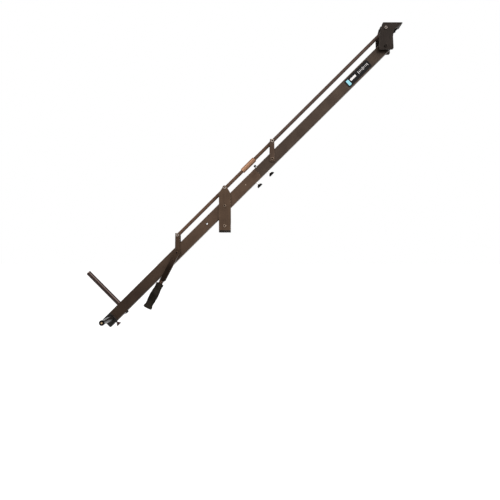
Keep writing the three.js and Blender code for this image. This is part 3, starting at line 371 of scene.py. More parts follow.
zinc_steel = finish(
    "zinc_steel", (134, 121, 111), (168, 154, 143), 0.3, 1, grain=260,
    rub=(214, 203, 193), painted_socket_shade=(38, 32, 29),
)
washer_nylon = finish("washer_nylon", (214, 210, 198), (236, 232, 222), 0.45, 0, grain=300, relief=0.15)
stud_low, stud_high = extent("pan_stud", ground)
nut_low, nut_high = extent("pan_nut", ground)
pan_radius = 0.008
nut_bore = 0.0083
flange_radius = (stud_high.x - stud_low.x) / 2
flange_height = 0.003
socket_radius = 0.0048
socket_depth = 0.014
socket_pitch = 0.0016
pan_pitch = 0.0015
pan_groove = 0.0007
lead_in = 0.001
pan_stud = turned(
    "Z", (socket_depth, 0), (socket_depth, socket_radius),
    *thread(socket_radius, socket_depth - lead_in, lead_in, socket_pitch, pan_groove),
    (0, socket_radius + 0.0006), (0, flange_radius - 0.0005), (0.0005, flange_radius),
    (flange_height, flange_radius), (flange_height, pan_radius), (nut_low.z, pan_radius),
    *thread(pan_radius, nut_low.z + lead_in, stud_high.z - 0.0012, pan_pitch, pan_groove),
    (stud_high.z, pan_radius - 0.0013), (stud_high.z, 0),
)
add("pan_stud_turned", pan_stud, zinc_steel, ground, "base", "bright_steel", "pan_stud")
plate(
    "pan_lock_nut", hexagon(nut_high.y - nut_low.y), "Z",
    zinc_steel, ground, "base", "bright_steel", "pan_nut", [circle(nut_bore)], edge=0.0009,
)
coat("thrust_washer", washer_nylon)


# Post: two aluminium plates, sawn from sheet and anodised bronze, screwed to a solid block at the
# foot. They are as wide as the base, and their sides draw in to a round nose at the upper pin.
def joint_place(name):
    """Where a joint is, upright."""
    return Matrix.Translation(next(j["pos_m"] for j in frame["joints"] if j["name"] == name))


def ring_of(*points):
    return [Vector(point) for point in points]


def bend(start, pull, end, steps=10):
    """A curved side from start to end, drawn towards a third point."""
    shares = [step / steps for step in range(1, steps)]
    return [start * (1 - t) ** 2 + pull * 2 * t * (1 - t) + end * t ** 2 for t in shares]


def arc(radius, centre, start, end, steps=12):
    """Part of a circle between two turns in degrees, both ends included."""
    turns = [math.radians(start + (end - start) * step / steps) for step in range(steps + 1)]
    return [Vector(centre) + radius * Vector((math.cos(turn), math.sin(turn))) for turn in turns]


bronze_upright = finish(
    "bronze_upright", (67, 52, 41), (83, 65, 51), 0.42, 0.85, grain=(900, 900, 9), rub=(158, 140, 122),
)
main_pivot = joint_place("boom")
upper_pin = joint_place("middle_rod_pivot")
main_height = main_pivot.translation.z
pin_height = upper_pin.translation.z
post_low, post_high = extent("post_plate_near", ground)
post_side = post_high.x
post_nose = post_high.z - pin_height
shoulder_rise = 0.060
shoulder = main_height + shoulder_rise
nose_pull = (post_side + post_nose) / 2 + post_nose / 3
nose_middle = (shoulder + pin_height) / 2
right_side = ring_of((post_side, shoulder), (nose_pull, nose_middle), (post_nose, pin_height))
left_side = [Vector((-point.x, point.y)) for point in reversed(right_side)]
post_ring = [
    *ring_of((-post_side, post_low.z), (post_side, post_low.z)), right_side[0],
    *bend(*right_side), *arc(post_nose, (0, pin_height), 0, 180), *bend(*left_side), left_side[-1],
]
for side_name in ("near", "far"):
    plate(
        f"{side_name}_post_plate", post_ring, "Y",
        bronze_upright, ground, "post", "bronze_anodised", f"post_plate_{side_name}",
    )
block_low, block_high = extent("post_block", ground)
block_size = block_high - block_low
block_corner = 0.0012
block_bore = 0.0085
plate(
    "post_foot_block", rounded(block_size.x, block_size.y, block_corner), "Z",
    bronze_upright, ground, "post", "bronze_anodised", "post_block", [circle(block_bore)], edge=block_edge,
)


# Screws of the post: steel cap screws with a six-sided socket, and lock nuts on the far side of both
# pins. The main pivot's is browned, the foot's painted paler as a highlight, and the upper pin's plated.
def moved(x=0, y=0, z=0):
    return Matrix.Translation((x, y, z))


def spun(degrees, axis):
    return Matrix.Rotation(math.radians(degrees), 4, axis)


def carve(mesh, *tools, operation="DIFFERENCE"):
    """A mesh with others cut from it or joined to it."""
    blank = put("blank", mesh)
    cutters = [put("cutter", tool) for tool in tools]
    for cutter in cutters:
        step = blank.modifiers.new("cut", "BOOLEAN")
        step.operation = operation
        step.solver = "EXACT"
        step.object = cutter
    bpy.context.view_layer.update()
    seen = blank.evaluated_get(bpy.context.evaluated_depsgraph_get())
    carved = bpy.data.meshes.new_from_object(seen)
    for spent in (blank, *cutters):
        bpy.data.objects.remove(spent)
    return carved


def joined(mesh, *others):
    return carve(mesh, *others, operation="UNION")


def cap_screw(head_radius, head_height, socket_flats, shank_radius, length):
    """A cap screw along +Y from its seat, with a knurled head, its socket and a threaded tip."""
    knurl = 0.00018
    knurls = 32
    threaded = 0.012
    pitch = 0.0014
    groove = 0.0006

    def milled(turn):
        return head_radius - knurl * (1 - math.cos(knurls * turn))

    tip = max(length - threaded, length / 2)
    head_profile = [
        (1, 0), (1, head_radius * 0.86), (0.93, head_radius * 0.95), (0.84, head_radius), (0.82, milled),
        (0.12, milled), (0.1, head_radius), (0.03, head_radius * 0.985), (0, head_radius * 0.96),
    ]
    blank = turned(
        "Y", *[(-head_height * share, radius) for share, radius in head_profile],
        (0, shank_radius), (tip, shank_radius),
        *thread(shank_radius, tip + 0.0005, length - lead_in, pitch, groove),
        (length, shank_radius * 0.8), (length, 0),
    )
    socket = slab(hexagon(socket_flats), -head_height * 2, -head_height * 0.42, "Y", edge=cutter_edge)
    mesh = carve(blank, socket)
    # The faces at the bottom of the socket are marked for painted shade.
    painted_socket_shade = mesh.attributes.new("painted_socket_shade", "FLOAT", "CORNER")
    for face in mesh.polygons:
        inside = math.hypot(face.center.x, face.center.z) < socket_flats * 0.6
        in_head = -head_height * 0.98 < face.center.y < 0
        for loop in face.loop_indices:
            painted_socket_shade.data[loop].value = 1 if inside and in_head else 0
    return mesh


def fitted_screw(name, sizes, material, stand, body, slot, node):
    """A cap screw that stands for a packed screw, which lies along Y from its head."""
    low, high = extent(node, stand)
    head_height = sizes[1]
    centre = middle(node, stand)
    screw = cap_screw(*sizes, high.y - low.y - head_height)
    add(name, screw, material, stand @ moved(centre.x, low.y + head_height, centre.z), body, slot, node)


def lock_nut(flats, height, bore):
    """A lock nut from its seat along +Y: a six-sided body and a round collar for its nylon ring."""
    body_height = height * 0.68
    collar = flats * 0.46
    body = slab(hexagon(flats), 0, body_height, "Y", edge=0.0007)
    ring = turned(
        "Y", (body_height / 2, 0), (body_height / 2, collar), (height * 0.88, collar),
        (height * 0.97, collar * 0.95), (height, collar * 0.86), (height, bore * 1.06),
        (height * 0.9, bore * 1.02), (height * 0.9, 0),
    )
    return joined(body, ring)


cutter_edge = 0.0001
browned_steel = finish(
    "browned_steel", (82, 67, 55), (108, 91, 77), 0.34, 1, grain=320,
    rub=(160, 143, 127), painted_socket_shade=(30, 24, 20),
)
# A paler copy of the browned steel for the foot screws: a painted highlight.
steel_painted_highlight = finish(
    "steel_painted_highlight", (112, 94, 79), (146, 126, 110), 0.3, 1, grain=320,
    rub=(196, 180, 164), painted_socket_shade=(30, 24, 20),
)
dark_steel = finish(
    "dark_steel", (48, 36, 30), (66, 51, 43), 0.38, 1, grain=320, rub=(104, 84, 72), painted_socket_shade=(20, 16, 14),
)
large_height = 0.006
large_socket = 0.0079
large_shank = 0.00475
large_screw = (0.00715, large_height, large_socket, large_shank)
small_screw = (0.00595, 0.005, 0.0063, 0.00395)
large_nut = 0.0143
small_nut = 0.0127
for side_name, facing in (("near", 0), ("far", 180)):
    fitted_screw(
        f"{side_name}_foot_screw", large_screw, steel_painted_highlight, spun(facing, "Z"),
        "post", "bronze_steel", f"foot_screw_{side_name}",
    )
for pin_name, pin, sizes, flats, pin_finish, pin_slot in (
    ("main_pivot", main_pivot, large_screw, large_nut, browned_steel, "bronze_steel"),
    ("post_upper", upper_pin, small_screw, small_nut, zinc_steel, "bright_steel"),
):
    fitted_screw(f"{pin_name}_cap_screw", sizes, pin_finish, pin, "post", pin_slot, f"{pin_name}_screw")
    nut_low, nut_high = extent(f"{pin_name}_nut", pin)
    add(
        f"{pin_name}_lock_nut", lock_nut(flats, nut_high.y - nut_low.y, sizes[-1]),
        zinc_steel, pin @ moved(y=nut_low.y), "post", "bright_steel", f"{pin_name}_nut",
    )


# Spacers and bush: black sleeves that keep the beam and the rods in the middle of the post, and a
# nylon bush, pressed into the beam, that turns on the main screw.
def mirrored(half, middle_at):
    """A profile from its first half, which is repeated backwards beyond the middle."""
    return half + [(2 * middle_at - at, radius) for at, radius in reversed(half)]


def sleeve(low, high, bore, radius, chamfer):
    """A tube along Y with chamfered ends."""
    end = [(low, bore), (low, radius - chamfer), (low + chamfer, radius)]
    return turned("Y", *mirrored(end, (low + high) / 2), end[0])


black_nylon = finish(
    "black_nylon", (16, 14, 12), (26, 23, 21), 0.42, 0, grain=400, rub=(60, 56, 52), shine=0.15,
)
bore_share = 0.6
chamfer_share = 0.07
for pin_name, pin in (("pivot", main_pivot), ("upper", upper_pin)):
    for side_name in ("near", "far"):
        spacer = f"{pin_name}_spacer_{side_name}"
        low, high = extent(spacer, pin)
        spacer_tube = sleeve(low.y, high.y, high.x * bore_share, high.x, high.x * chamfer_share)
        add(f"{spacer}_sleeve", spacer_tube, black_nylon, pin, "post", "black_plastic", spacer)
coat("main_bush", washer_nylon)


# Beam: two lengths of rectangular aluminium tube, bronze anodised, which slide onto a sleeve. The
# rear one has a plain hole behind the post and one for the weight bar. Flush rivets hold the sleeve.
def tilted(place, node_joint):
    """A place turned so that X runs along the beam, found from the joint at the beam's far end."""
    run = joint_place(node_joint).translation - main_pivot.translation
    return place @ Matrix.Rotation(-math.atan2(run.z, run.x), 4, "Y")


def barred(radius, low, high, along, place=(0, 0, 0)):
    """A plain round bar along an axis, set at a place."""
    bar = turned(along, (low, 0), (low, radius), (high, radius), (high, 0), steps=48)
    bar.transform(Matrix.Translation(place))
    return bar


beam = tilted(main_pivot, "head_pivot")
# The rear tube's colour darkens towards its rear end: painted shade where the light falls off.
bronze_rear = finish(
    "bronze_rear", (69, 53, 42), (85, 67, 54), 0.42, 0.85, grain=(7, 900, 900),
    rub=(112, 94, 80), painted_shade_span=(-0.15, -0.65, 0.44),
)
# The front tube's colour darkens towards its front end, by the head: painted shade.
bronze_front = finish(
    "bronze_front", (55, 44, 37), (69, 57, 48), 0.42, 0.85, grain=(7, 900, 900),
    rub=(104, 88, 76), painted_shade_span=(0.95, 1.1, 0.66),
)
rivet_bronze = finish(
    "rivet_bronze", (80, 65, 54), (98, 82, 70), 0.42, 0.85, grain=600, rub=(140, 124, 110),
)
dark_bronze = finish(
    "dark_bronze", (50, 40, 33), (63, 51, 42), 0.4, 0.85, grain=(9, 800, 800), rub=(120, 104, 90),
)
beam_low, beam_high = extent("rear_beam", beam)
beam_width = beam_high.y - beam_low.y
beam_depth = beam_high.z - beam_low.z
beam_wall = 0.003
beam_corner = 0.003
tube_edge = 0.0005
tube_ring = rounded(beam_width, beam_depth, beam_corner)
tube_bore = rounded(beam_width - 2 * beam_wall, beam_depth - 2 * beam_wall, beam_corner / 2)
plain_hole = 0.005
plain_hole_at = -0.131
weight_bar_hole = 0.0128
weight_bar_at = middle("weight_bar", beam).x
push_bar_at = middle("push_bar", beam).x
rear_tube = carve(
    slab(tube_ring, beam_low.x, beam_high.x, "X", [tube_bore], edge=tube_edge),
    barred(plain_hole, -beam_width, beam_width, "Y", (plain_hole_at, 0, 0)),
    barred(weight_bar_hole, 0, beam_depth, "Z", (weight_bar_at, 0, 0)),
)
add("rear_tube", rear_tube, bronze_rear, beam, "beam", "bronze_anodised", "rear_beam")
plate(
    "front_tube", tube_ring, "X",
    bronze_front, beam, "beam", "bronze_anodised", "front_beam", [tube_bore], tube_edge,
)
rivet_at = 0.153
rivet_radius = 0.0035
wall_face = -beam_width / 2
for side_name, facing in (("near", 0), ("far", 180)):
    rivet = turned(
        "Y", (wall_face + 0.001, rivet_radius), (wall_face - 0.0001, rivet_radius),
        (wall_face - 0.0004, rivet_radius * 0.8), (wall_face - 0.0005, rivet_radius * 3 / 7),
        (wall_face - 0.0005, 0), steps=32,
    )
    place = beam @ moved(x=rivet_at) @ spun(facing, "Z")
    add(f"{side_name}_splice_rivet", rivet, rivet_bronze, place, "beam", "bronze_anodised")
coat("splice_sleeve", dark_bronze)


# End plugs: moulded black plastic. The rear one is a deep block that the push bar slides through,
# and the front one is a thin cap. Both have a spigot pressed into the tube, which is not drawn.
seat = 0.0003
push_bar_hole = 0.0129
rear_plug_edge = 0.0016
front_plug_edge = 0.0012
rear_plug = carve(
    slab(tube_ring, extent("rear_end_block", beam)[0].x, beam_low.x - seat, "X", edge=rear_plug_edge),
    barred(push_bar_hole, -beam_width, beam_width, "Y", (push_bar_at, 0, 0)),
)
add("rear_plug", rear_plug, black_nylon, beam, "beam", "black_plastic", "rear_end_block")
plug_start = extent("front_beam", beam)[1].x + seat
plug_end = extent("front_end_plug", beam)[1].x
front_plug = slab(tube_ring, plug_start, plug_end, "X", edge=front_plug_edge)
add("front_plug", front_plug, black_nylon, beam, "beam", "black_plastic", "front_end_plug")


# Label: a thin black foil on the near face of the front tube, with plain printed marks. It has
# an even scale of white ticks after a pale blue bar and a white one, and says nothing.
label_start = 0.889
label_end = 1.054
label_height = 0.044
foil = 0.00025
label_black = finish("label_black", (14, 12, 12), (22, 19, 18), 0.45, 0, grain=500, relief=0.05, shine=0.1)
label_white = finish("label_white", (214, 208, 206), (232, 228, 226), 0.4, 0, grain=500, relief=0.05)
label_blue = finish("label_blue", (120, 190, 206), (150, 210, 222), 0.4, 0, grain=500, relief=0.05)


def printed(centre, width, height, lift=1):
    """A thin rounded patch on the beam's near face, lifted by so many layers of foil."""
    outer = wall_face - foil * lift
    patch = slab(rounded(width, height, min(width, height) * 0.2), outer - foil, outer, "Y", edge=foil / 4)
    patch.transform(moved(x=centre[0], z=centre[1]))
    return patch


blue_at = label_start + 0.016
white_at = label_start + 0.050
white_rise = 0.003
tick_count = 9
tick_start = label_start + 0.088
tick_pitch = 0.008
tick_rise = 0.002
tick_width = 0.0022
long_tick = 0.016
short_tick = 0.010
panel = printed(((label_start + label_end) / 2, 0), label_end - label_start, label_height, 0)
blue_bar = printed((blue_at, 0), width=0.016, height=0.030)
white_bar = printed((white_at, white_rise), width=0.038, height=0.011)
ticks = [
    printed(
        (tick_start + tick_pitch * tick, tick_rise), tick_width, short_tick if tick % 4 else long_tick,
    )
    for tick in range(tick_count)
]
for mark_name, mark, mark_finish in (
    ("panel", panel, label_black), ("blue_bar", blue_bar, label_blue),
    ("marks", joined(white_bar, *ticks), label_white),
):
    add(f"label_{mark_name}", mark, mark_finish, beam, "beam", "black_plastic")


# Splice screws: bright plated studs, threaded where they go through the tube's wall and the sleeve,
# each with a moulded black wing knob. The two lower ones lie along the beam, the top one across it.
def wing(length, height, width, waist_share):
    """A wing knob along X about the origin: a thick middle between two thin leaves with round ends."""
    sections = 28
    sides = 28
    square = 0.7
    solid = bmesh.new()
    rings = []
    for section in range(1, sections):
        lean = math.cos(math.pi * section / sections)
        at = -length / 2 * lean
        leaf = (1 - lean ** 2) ** 0.36
        hub = math.exp(-((at / (length * 0.24)) ** 2))
        half_width = width / 2 * (waist_share + (1 - waist_share) * hub) * leaf
        half_height = height / 2 * (1 - 0.15 * abs(lean)) * leaf
        ring = []
        for side in range(sides):
            turn = 2 * math.pi * side / sides
            across, up = (
                math.copysign(abs(part) ** square, part) for part in (math.cos(turn), math.sin(turn))
            )
            level = height / 2 - half_height + half_height * up
            ring.append(solid.verts.new((at, half_width * across, level)))
        rings.append(ring)
    for lower, upper in zip(rings, rings[1:]):
        for here in range(sides):
            after = (here + 1) % sides
            solid.faces.new((lower[here], lower[after], upper[after], upper[here]))
    for end, ring in ((-length / 2, rings[0]), (length / 2, rings[-1])):
        tip = solid.verts.new((end, 0, sum(vertex.co.z for vertex in ring) / sides))
        for here in range(sides):
            solid.faces.new((ring[here], ring[(here + 1) % sides], tip))
    return meshed(solid)


knob_black = finish(
    "knob_black", (6, 5, 4), (13, 10, 9), 0.5, 0, grain=350, relief=0.14, rub=(30, 25, 23), shine=0.04,
)
bright_stud = finish("bright_stud", (232, 229, 224), (246, 244, 240), 0.16, 1, grain=200, relief=0.03)
stud_radius = 0.004
stud_pitch = 0.00125
stud_groove = 0.0006
stud_plain = beam_depth / 2
for stud_name, flip, turn, height_share in (
    ("rear", 180, 0, 0.91), ("front", 180, 0, 0.91), ("top", 0, 90, 1),
):
    body = f"splice_screw_{stud_name}"
    knob = f"splice_knob_{stud_name}"
    stud = f"splice_stud_{stud_name}"
    stand = beam @ moved(x=middle(stud, beam).x) @ spun(turn, "Z") @ spun(flip, "X")
    low, high = extent(knob, stand)
    size = high - low
    hub_radius = size.y / 2
    wing_height = size.z * height_share
    hub_high = low.z + wing_height
    hub = turned(
        "Z", (low.z, 0), (low.z, hub_radius * 0.78), (low.z + 0.0008, hub_radius * 0.88),
        (low.z + wing_height / 2, hub_radius), (hub_high - 0.0006, hub_radius * 0.96),
        (hub_high, hub_radius * 0.88), (hub_high, 0),
    )
    leaves = wing(size.x, wing_height, size.y, waist_share=0.42)
    leaves.transform(moved(z=low.z + wing_height / 2))
    add(f"{stud_name}_wing_knob", joined(leaves, hub), knob_black, stand, body, "black_plastic", knob)
    stud_tip = extent(stud, stand)[0].z
    screw = turned(
        "Z", (stud_tip, 0), (stud_tip, stud_radius * 0.8),
        *thread(stud_radius, stud_tip + 0.0008, stud_plain - 0.0005, stud_pitch, stud_groove),
        (stud_plain, stud_radius), (low.z + 0.002, stud_radius), (low.z + 0.002, 0), steps=32,
    )
    add(f"{stud_name}_splice_stud", screw, bright_stud, stand, body, "bright_steel", stud)


# Weight bar: a solid steel bar, turned, browned and polished, that stands square to the beam near
# its rear end. A black cap screw under the beam holds it.
bar_brown = finish(
    "bar_brown", (48, 39, 36), (61, 51, 48), 0.22, 1, grain=500, relief=0.04, rub=(170, 156, 146),
)
bar_stand = beam @ moved(x=weight_bar_at)
bar_low, bar_high = extent("weight_bar", bar_stand)
bar_radius = bar_high.x
bar_chamfer = 0.0022
weight_bar = turned(
    "Z", (bar_low.z, 0), (bar_low.z, bar_radius), (bar_high.z - bar_chamfer, bar_radius),
    (bar_high.z - bar_chamfer * 0.4, bar_radius - bar_chamfer * 0.3),
    (bar_high.z, bar_radius - bar_chamfer), (bar_high.z, bar_radius * 0.14), (bar_high.z - 0.0015, 0),
)
weight_bar.transform(bar_stand)
add("polished_weight_bar", weight_bar, bar_brown, ground, "beam", "bronze_steel", "weight_bar")
bolt_head = 0.007
bolt_radius = extent("weight_bar_bolt", bar_stand)[1].x
fitted_screw(
    "weight_bar_cap_screw", (bolt_radius, bolt_head, large_socket, large_shank), black_nylon,
    bar_stand @ spun(90, "X"), "beam", "black_plastic", "weight_bar_bolt",
)


# Push bar: a polished dark steel tube across the beam's rear end, which slides and is clamped.
# Black caps close its ends, each held by a brass-coloured screw.
bar_dark = finish(
    "bar_dark", (44, 43, 42), (58, 57, 56), 0.3, 0.8, grain=(500, 30, 500), relief=0.05,
    rub=(120, 116, 112),
)
brass_screw = finish(
    "brass_screw", (140, 119, 92), (168, 147, 119), 0.3, 1, grain=400, relief=0.1, rub=(220, 196, 156),
)
bar_across = beam @ moved(x=push_bar_at)
tube_low, tube_high = extent("push_bar", bar_across)
tube_radius = tube_high.x
push_wall = 0.002
push_tube = sleeve(tube_low.y, tube_high.y, tube_radius - push_wall, tube_radius, chamfer=0.0003)
add("push_tube", push_tube, bar_dark, bar_across, "push_bar", "dark_steel", "push_bar")
spigot = tube_radius - push_wall - 0.0008
cap_flange = 0.0067
dome_radius = 0.0044
dome_flats = 0.0036
for side_name, facing in (("near", 0), ("far", 180)):
    place = bar_across @ spun(facing, "Z")
    node = f"push_bar_cap_{side_name}"
    low, high = extent(node, place)
    rim = high.x
    rim_end = low.y + cap_flange
    cap = turned(
        "Y", (high.y, 0), (high.y, spigot), (rim_end, spigot), (rim_end, rim - 0.0004),
        (rim_end - 0.0004, rim), (low.y + 0.002, rim), (low.y + 0.0006, rim - 0.0007),
        (low.y, rim - 0.0024), (low.y + 0.0004, rim - 0.0045), (low.y + 0.0018, rim - 0.0062),
        (low.y + 0.002, 0),
    )
    add(f"{side_name}_push_cap", cap, knob_black, place, "push_bar", "black_plastic", node)
    dome = turned(
        "Y", (low.y + 0.0019, dome_radius), (low.y + 0.0011, dome_radius),
        (low.y + 0.0006, dome_radius - 0.0005), (low.y + 0.0003, dome_radius - 0.0016), (low.y + 0.0002, 0),
    )
    dome_socket = slab(hexagon(dome_flats), low.y - 0.002, low.y + 0.0012, "Y", edge=cutter_edge)
    dome_screw = carve(dome, dome_socket)
    add(f"{side_name}_cap_screw", dome_screw, brass_screw, place, "push_bar", "bronze_steel")


# Clamp screw: a dark red-brown screw with a small wing, threaded up into the rear block from below.
# It grips the push bar.
clamp_red = finish(
    "clamp_red", (42, 24, 23), (58, 34, 32), 0.45, 0.4, grain=320, relief=0.1, rub=(92, 62, 56),
    shine=0.15,
)
clamp_stand = bar_across @ spun(180, "X")
clamp_low, clamp_high = extent("push_bar_clamp_screw", clamp_stand)
clamp_size = clamp_high - clamp_low
wing_height = 0.013
wing_low = clamp_high.z - wing_height
clamp_wing = wing(clamp_size.x, wing_height, clamp_size.y, waist_share=0.5)
clamp_wing.transform(moved(z=clamp_high.z - wing_height / 2))
clamp_hub_low = wing_low - 0.001
clamp_hub_high = clamp_high.z - wing_height / 8
clamp_hub = turned(
    "Z", (clamp_hub_low, 0), (clamp_hub_low, 0.0056), (wing_low - 0.0004, 0.0062),
    (clamp_high.z - wing_height / 2, 0.0060), (clamp_hub_high, 0.0050), (clamp_hub_high, 0),
)
clamp_thread = turned(
    "Z", (clamp_low.z, 0), (clamp_low.z, stud_radius * 0.8),
    *thread(stud_radius, clamp_low.z + 0.0006, wing_low, stud_pitch, stud_groove),
    (wing_low, 0), steps=32,
)
add(
    "clamp_wing_screw", joined(clamp_wing, clamp_hub, clamp_thread),
    clamp_red, clamp_stand, "clamp_screw", "dark_anodised", "push_bar_clamp_screw",
)


# Upper rods: round aluminium rods, bronze anodised, in three lengths from the rear link to the
# camera head. Their flattened ends meet tongue in fork on the upper pins. The front one is greyer.
def oblong(left, bottom, right, top):
    """A rectangle by two opposite corners, as a ring of points."""
    return ring_of((left, bottom), (right, bottom), (right, top), (left, top))


def rod_end(pin, inward, width, reach):
    """A flat rod end about a pin, rounded behind it. Inward is 1 or -1, the way it runs along X."""
    flat = rod_radius * 0.9
    front = ring_of((pin + inward * reach, -flat), (pin + inward * reach, flat))
    ring = arc(rod_radius, (pin, 0), 90 * inward, 90 * inward + 180) + front[::inward]
    return slab(ring, -width / 2, width / 2, "Y", edge=block_edge)


def fork_slot(pin, inward):
    """What is cut from a fork for the tongue that turns in it."""
    side = tongue_width / 2 + seat
    start = pin - inward * 2 * rod_radius
    floor_at = pin + inward * (rod_radius + 0.0005)
    ring = oblong(start, -side, floor_at, side)[::inward]
    return slab(ring, -2 * rod_radius, 2 * rod_radius, "Z", edge=cutter_edge)


def rod_bar(low, high):
    end = [(low, 0), (low, rod_radius - rod_chamfer), (low + rod_chamfer, rod_radius)]
    return turned("X", *mirrored(end, (low + high) / 2), steps=48)


rods = tilted(upper_pin, "head_pivot")
bronze_rod = finish(
    "bronze_rod", (83, 63, 51), (101, 78, 64), 0.7, 0.1, grain=(6, 700, 700), relief=0.08,
    rub=(118, 97, 82), shine=0.02,
)
bronze_front_rod = finish(
    "bronze_front_rod", (74, 59, 52), (91, 74, 66), 0.7, 0.1, grain=(6, 700, 700), relief=0.08,
    rub=(110, 93, 82), shine=0.02,
)
link_at = (joint_place("front_link_pivot").translation - main_pivot.translation).length
head_at = (joint_place("head_pivot").translation - main_pivot.translation).length
rod_radius = 0.009
rod_chamfer = 0.0012
neck = 0.015
end_reach = neck + 0.002
tongue_width = 0.010
fork_width = 0.020
fork_reach = 0.024
rod_gap = 0.0005
turn_low, turn_high = extent("turnbuckle", rods)
rear_tie = carve(
    joined(
        rod_bar(-link_at + neck, -neck),
        rod_end(-link_at, 1, fork_width, end_reach), rod_end(0, -1, fork_width, fork_reach),
    ),
    fork_slot(0, -1),
)
middle_tie_rear = joined(rod_bar(neck, turn_low.x - rod_gap), rod_end(0, 1, tongue_width, end_reach))
middle_tie_front = carve(
    joined(rod_bar(turn_high.x + rod_gap, link_at - neck), rod_end(link_at, -1, fork_width, fork_reach)),
    fork_slot(link_at, -1),
)
front_tie = joined(
    rod_bar(link_at + neck, head_at - neck),
    rod_end(link_at, 1, tongue_width, end_reach), rod_end(head_at, -1, fork_width, end_reach),
)
for piece_name, mesh, rod_finish, body, node in (
    ("rear_tie_rod", rear_tie, bronze_rod, "rear_rod", "rear_rod"),
    ("middle_tie_rod_rear", middle_tie_rear, bronze_rod, "middle_rod", "middle_rod_rear"),
    ("middle_tie_rod_front", middle_tie_front, bronze_rod, "middle_rod", "middle_rod_front"),
    ("front_tie_rod", front_tie, bronze_front_rod, "front_rod", "front_rod"),
):
    add(piece_name, mesh, rod_finish, rods, body, "bronze_anodised", node)


# Turnbuckle: a tan anodised aluminium barrel with left and right threads, which joins the two
# halves of the middle rod. Turning it changes the rod's length and so the platform's tilt.
tan_barrel = finish(
    "tan_barrel", (126, 89, 65), (148, 109, 82), 0.45, 0.5, grain=(12, 500, 500), relief=0.08,
    rub=(214, 170, 126),
)
barrel_radius = turn_high.z
barrel_bore = 0.0055
barrel_end = [
    (turn_low.x, barrel_bore), (turn_low.x, barrel_radius - 0.0034),
    (turn_low.x + 0.0005, barrel_radius - 0.0028), (turn_low.x + 0.0028, barrel_radius - 0.0004),
    (turn_low.x + 0.0036, barrel_radius),
]
barrel = turned("X", *mirrored(barrel_end, (turn_low.x + turn_high.x) / 2), barrel_end[0])
add("tilt_turnbuckle", barrel, tan_barrel, rods, "turnbuckle", "tan_anodised", "turnbuckle")


# Links: pairs of upright aluminium plates beside the beam, with turned bosses at both pins. Their
# feet have round corners. The near rear plate has an arm that backs the tilt lever.
def bossed_plate(ring, inner, outer, side, *others):
    """A plate on one side of the beam, with a boss that reaches in at its lower and its upper pin."""
    inside = side * (inner + seat)
    foot_boss = sorted((side * (beam_width / 2 + seat), inside))
    top_boss = sorted((side * (fork_width / 2 + seat), inside))
    return joined(
        slab(ring, *sorted((side * inner, side * outer)), "Y", edge=link_edge),
        barred(foot_boss_radius, *foot_boss, "Y"),
        barred(top_boss_radius, *top_boss, "Y", (0, 0, crank)), *others,
    )


crank = pin_height - main_height
foot_boss_radius = 0.011
top_boss_radius = 0.0075
rear_link = joint_place("rear_link_pivot")
front_link = joint_place("front_link_pivot")
link_low, link_high = extent("front_link_near", front_link)
link_foot = link_high.x
link_top = 0.011
foot_corner = 0.006
corner_across = link_foot - foot_corner
corner_up = link_low.z + foot_corner
link_ring = [
    *ring_of((-link_top, link_high.z), (-link_foot, 0)),
    *arc(foot_corner, (-corner_across, corner_up), 180, 270),
    *arc(foot_corner, (corner_across, corner_up), 270, 360),
    *ring_of((link_foot, 0), (link_top, link_high.z)),
]
link_inner = 0.022
link_outer = 0.027
link_edge = 0.0007
lever_tilt = 27.5
lever = rear_link @ spun(90 + lever_tilt, "Y")
arm_reach = 0.060
arm_half = link_foot - seat
arm = slab(oblong(0, -arm_half, arm_reach, arm_half), -link_outer, -link_inner, "Y", edge=link_edge)
arm.transform(rear_link.inverted() @ lever)
# The rear links' finish is a darker copy of the front links': painted shade, as the light falls off towards
# the rear.
bronze_link_painted_shade = finish(
    "bronze_link_painted_shade", (58, 43, 33), (72, 55, 43), 0.42, 0.85, grain=(900, 900, 9), rub=(88, 71, 59),
)
bronze_front_link = finish(
    "bronze_front_link", (63, 49, 40), (77, 62, 51), 0.42, 0.85, grain=(900, 900, 9), rub=(118, 101, 88),
)
for link_name, place, link_finish, near_arm in (
    ("rear", rear_link, bronze_link_painted_shade, [arm]), ("front", front_link, bronze_front_link, []),
):
    for side_name, side, arms in (("near", -1, near_arm), ("far", 1, [])):
        add(
            f"{side_name}_{link_name}_link", bossed_plate(link_ring, link_inner, link_outer, side, *arms),
            link_finish, place, f"{link_name}_link", "bronze_anodised", f"{link_name}_link_{side_name}",
        )


# Link screws: the same cap screws and lock nuts as at the post. They are plated at the tops of the
# links, browned at the front link's foot, and dark at the rear link's, where one holds the lever.
def add_pin(pin_name, place, body, pin_finish, pin_slot):
    """The cap screw and the lock nut that stand for one packed pin."""
    low, high = extent(pin_name, place)
    pin = place @ moved(z=(low.z + high.z) / 2)
    nut_height = 0.008
    tip = 0.0005
    screw_seat = low.y + large_height
    add(
        f"{pin_name}_screw", cap_screw(*large_screw, high.y + tip - screw_seat),
        pin_finish, pin @ moved(y=screw_seat), body, pin_slot, pin_name,
    )
    add(
        f"{pin_name}_lock_nut", lock_nut(large_nut, nut_height, large_shank),
        zinc_steel, pin @ moved(y=high.y - nut_height), body, "bright_steel", pin_name,
    )


add_pin("rear_link_pin", rear_link, "rear_link", dark_steel, "bronze_steel")
add_pin("rear_link_upper_pin", rear_link, "rear_link", zinc_steel, "bright_steel")
add_pin("front_link_pin", front_link, "front_link", browned_steel, "bronze_steel")
add_pin("front_link_upper_pin", front_link, "front_link", zinc_steel, "bright_steel")
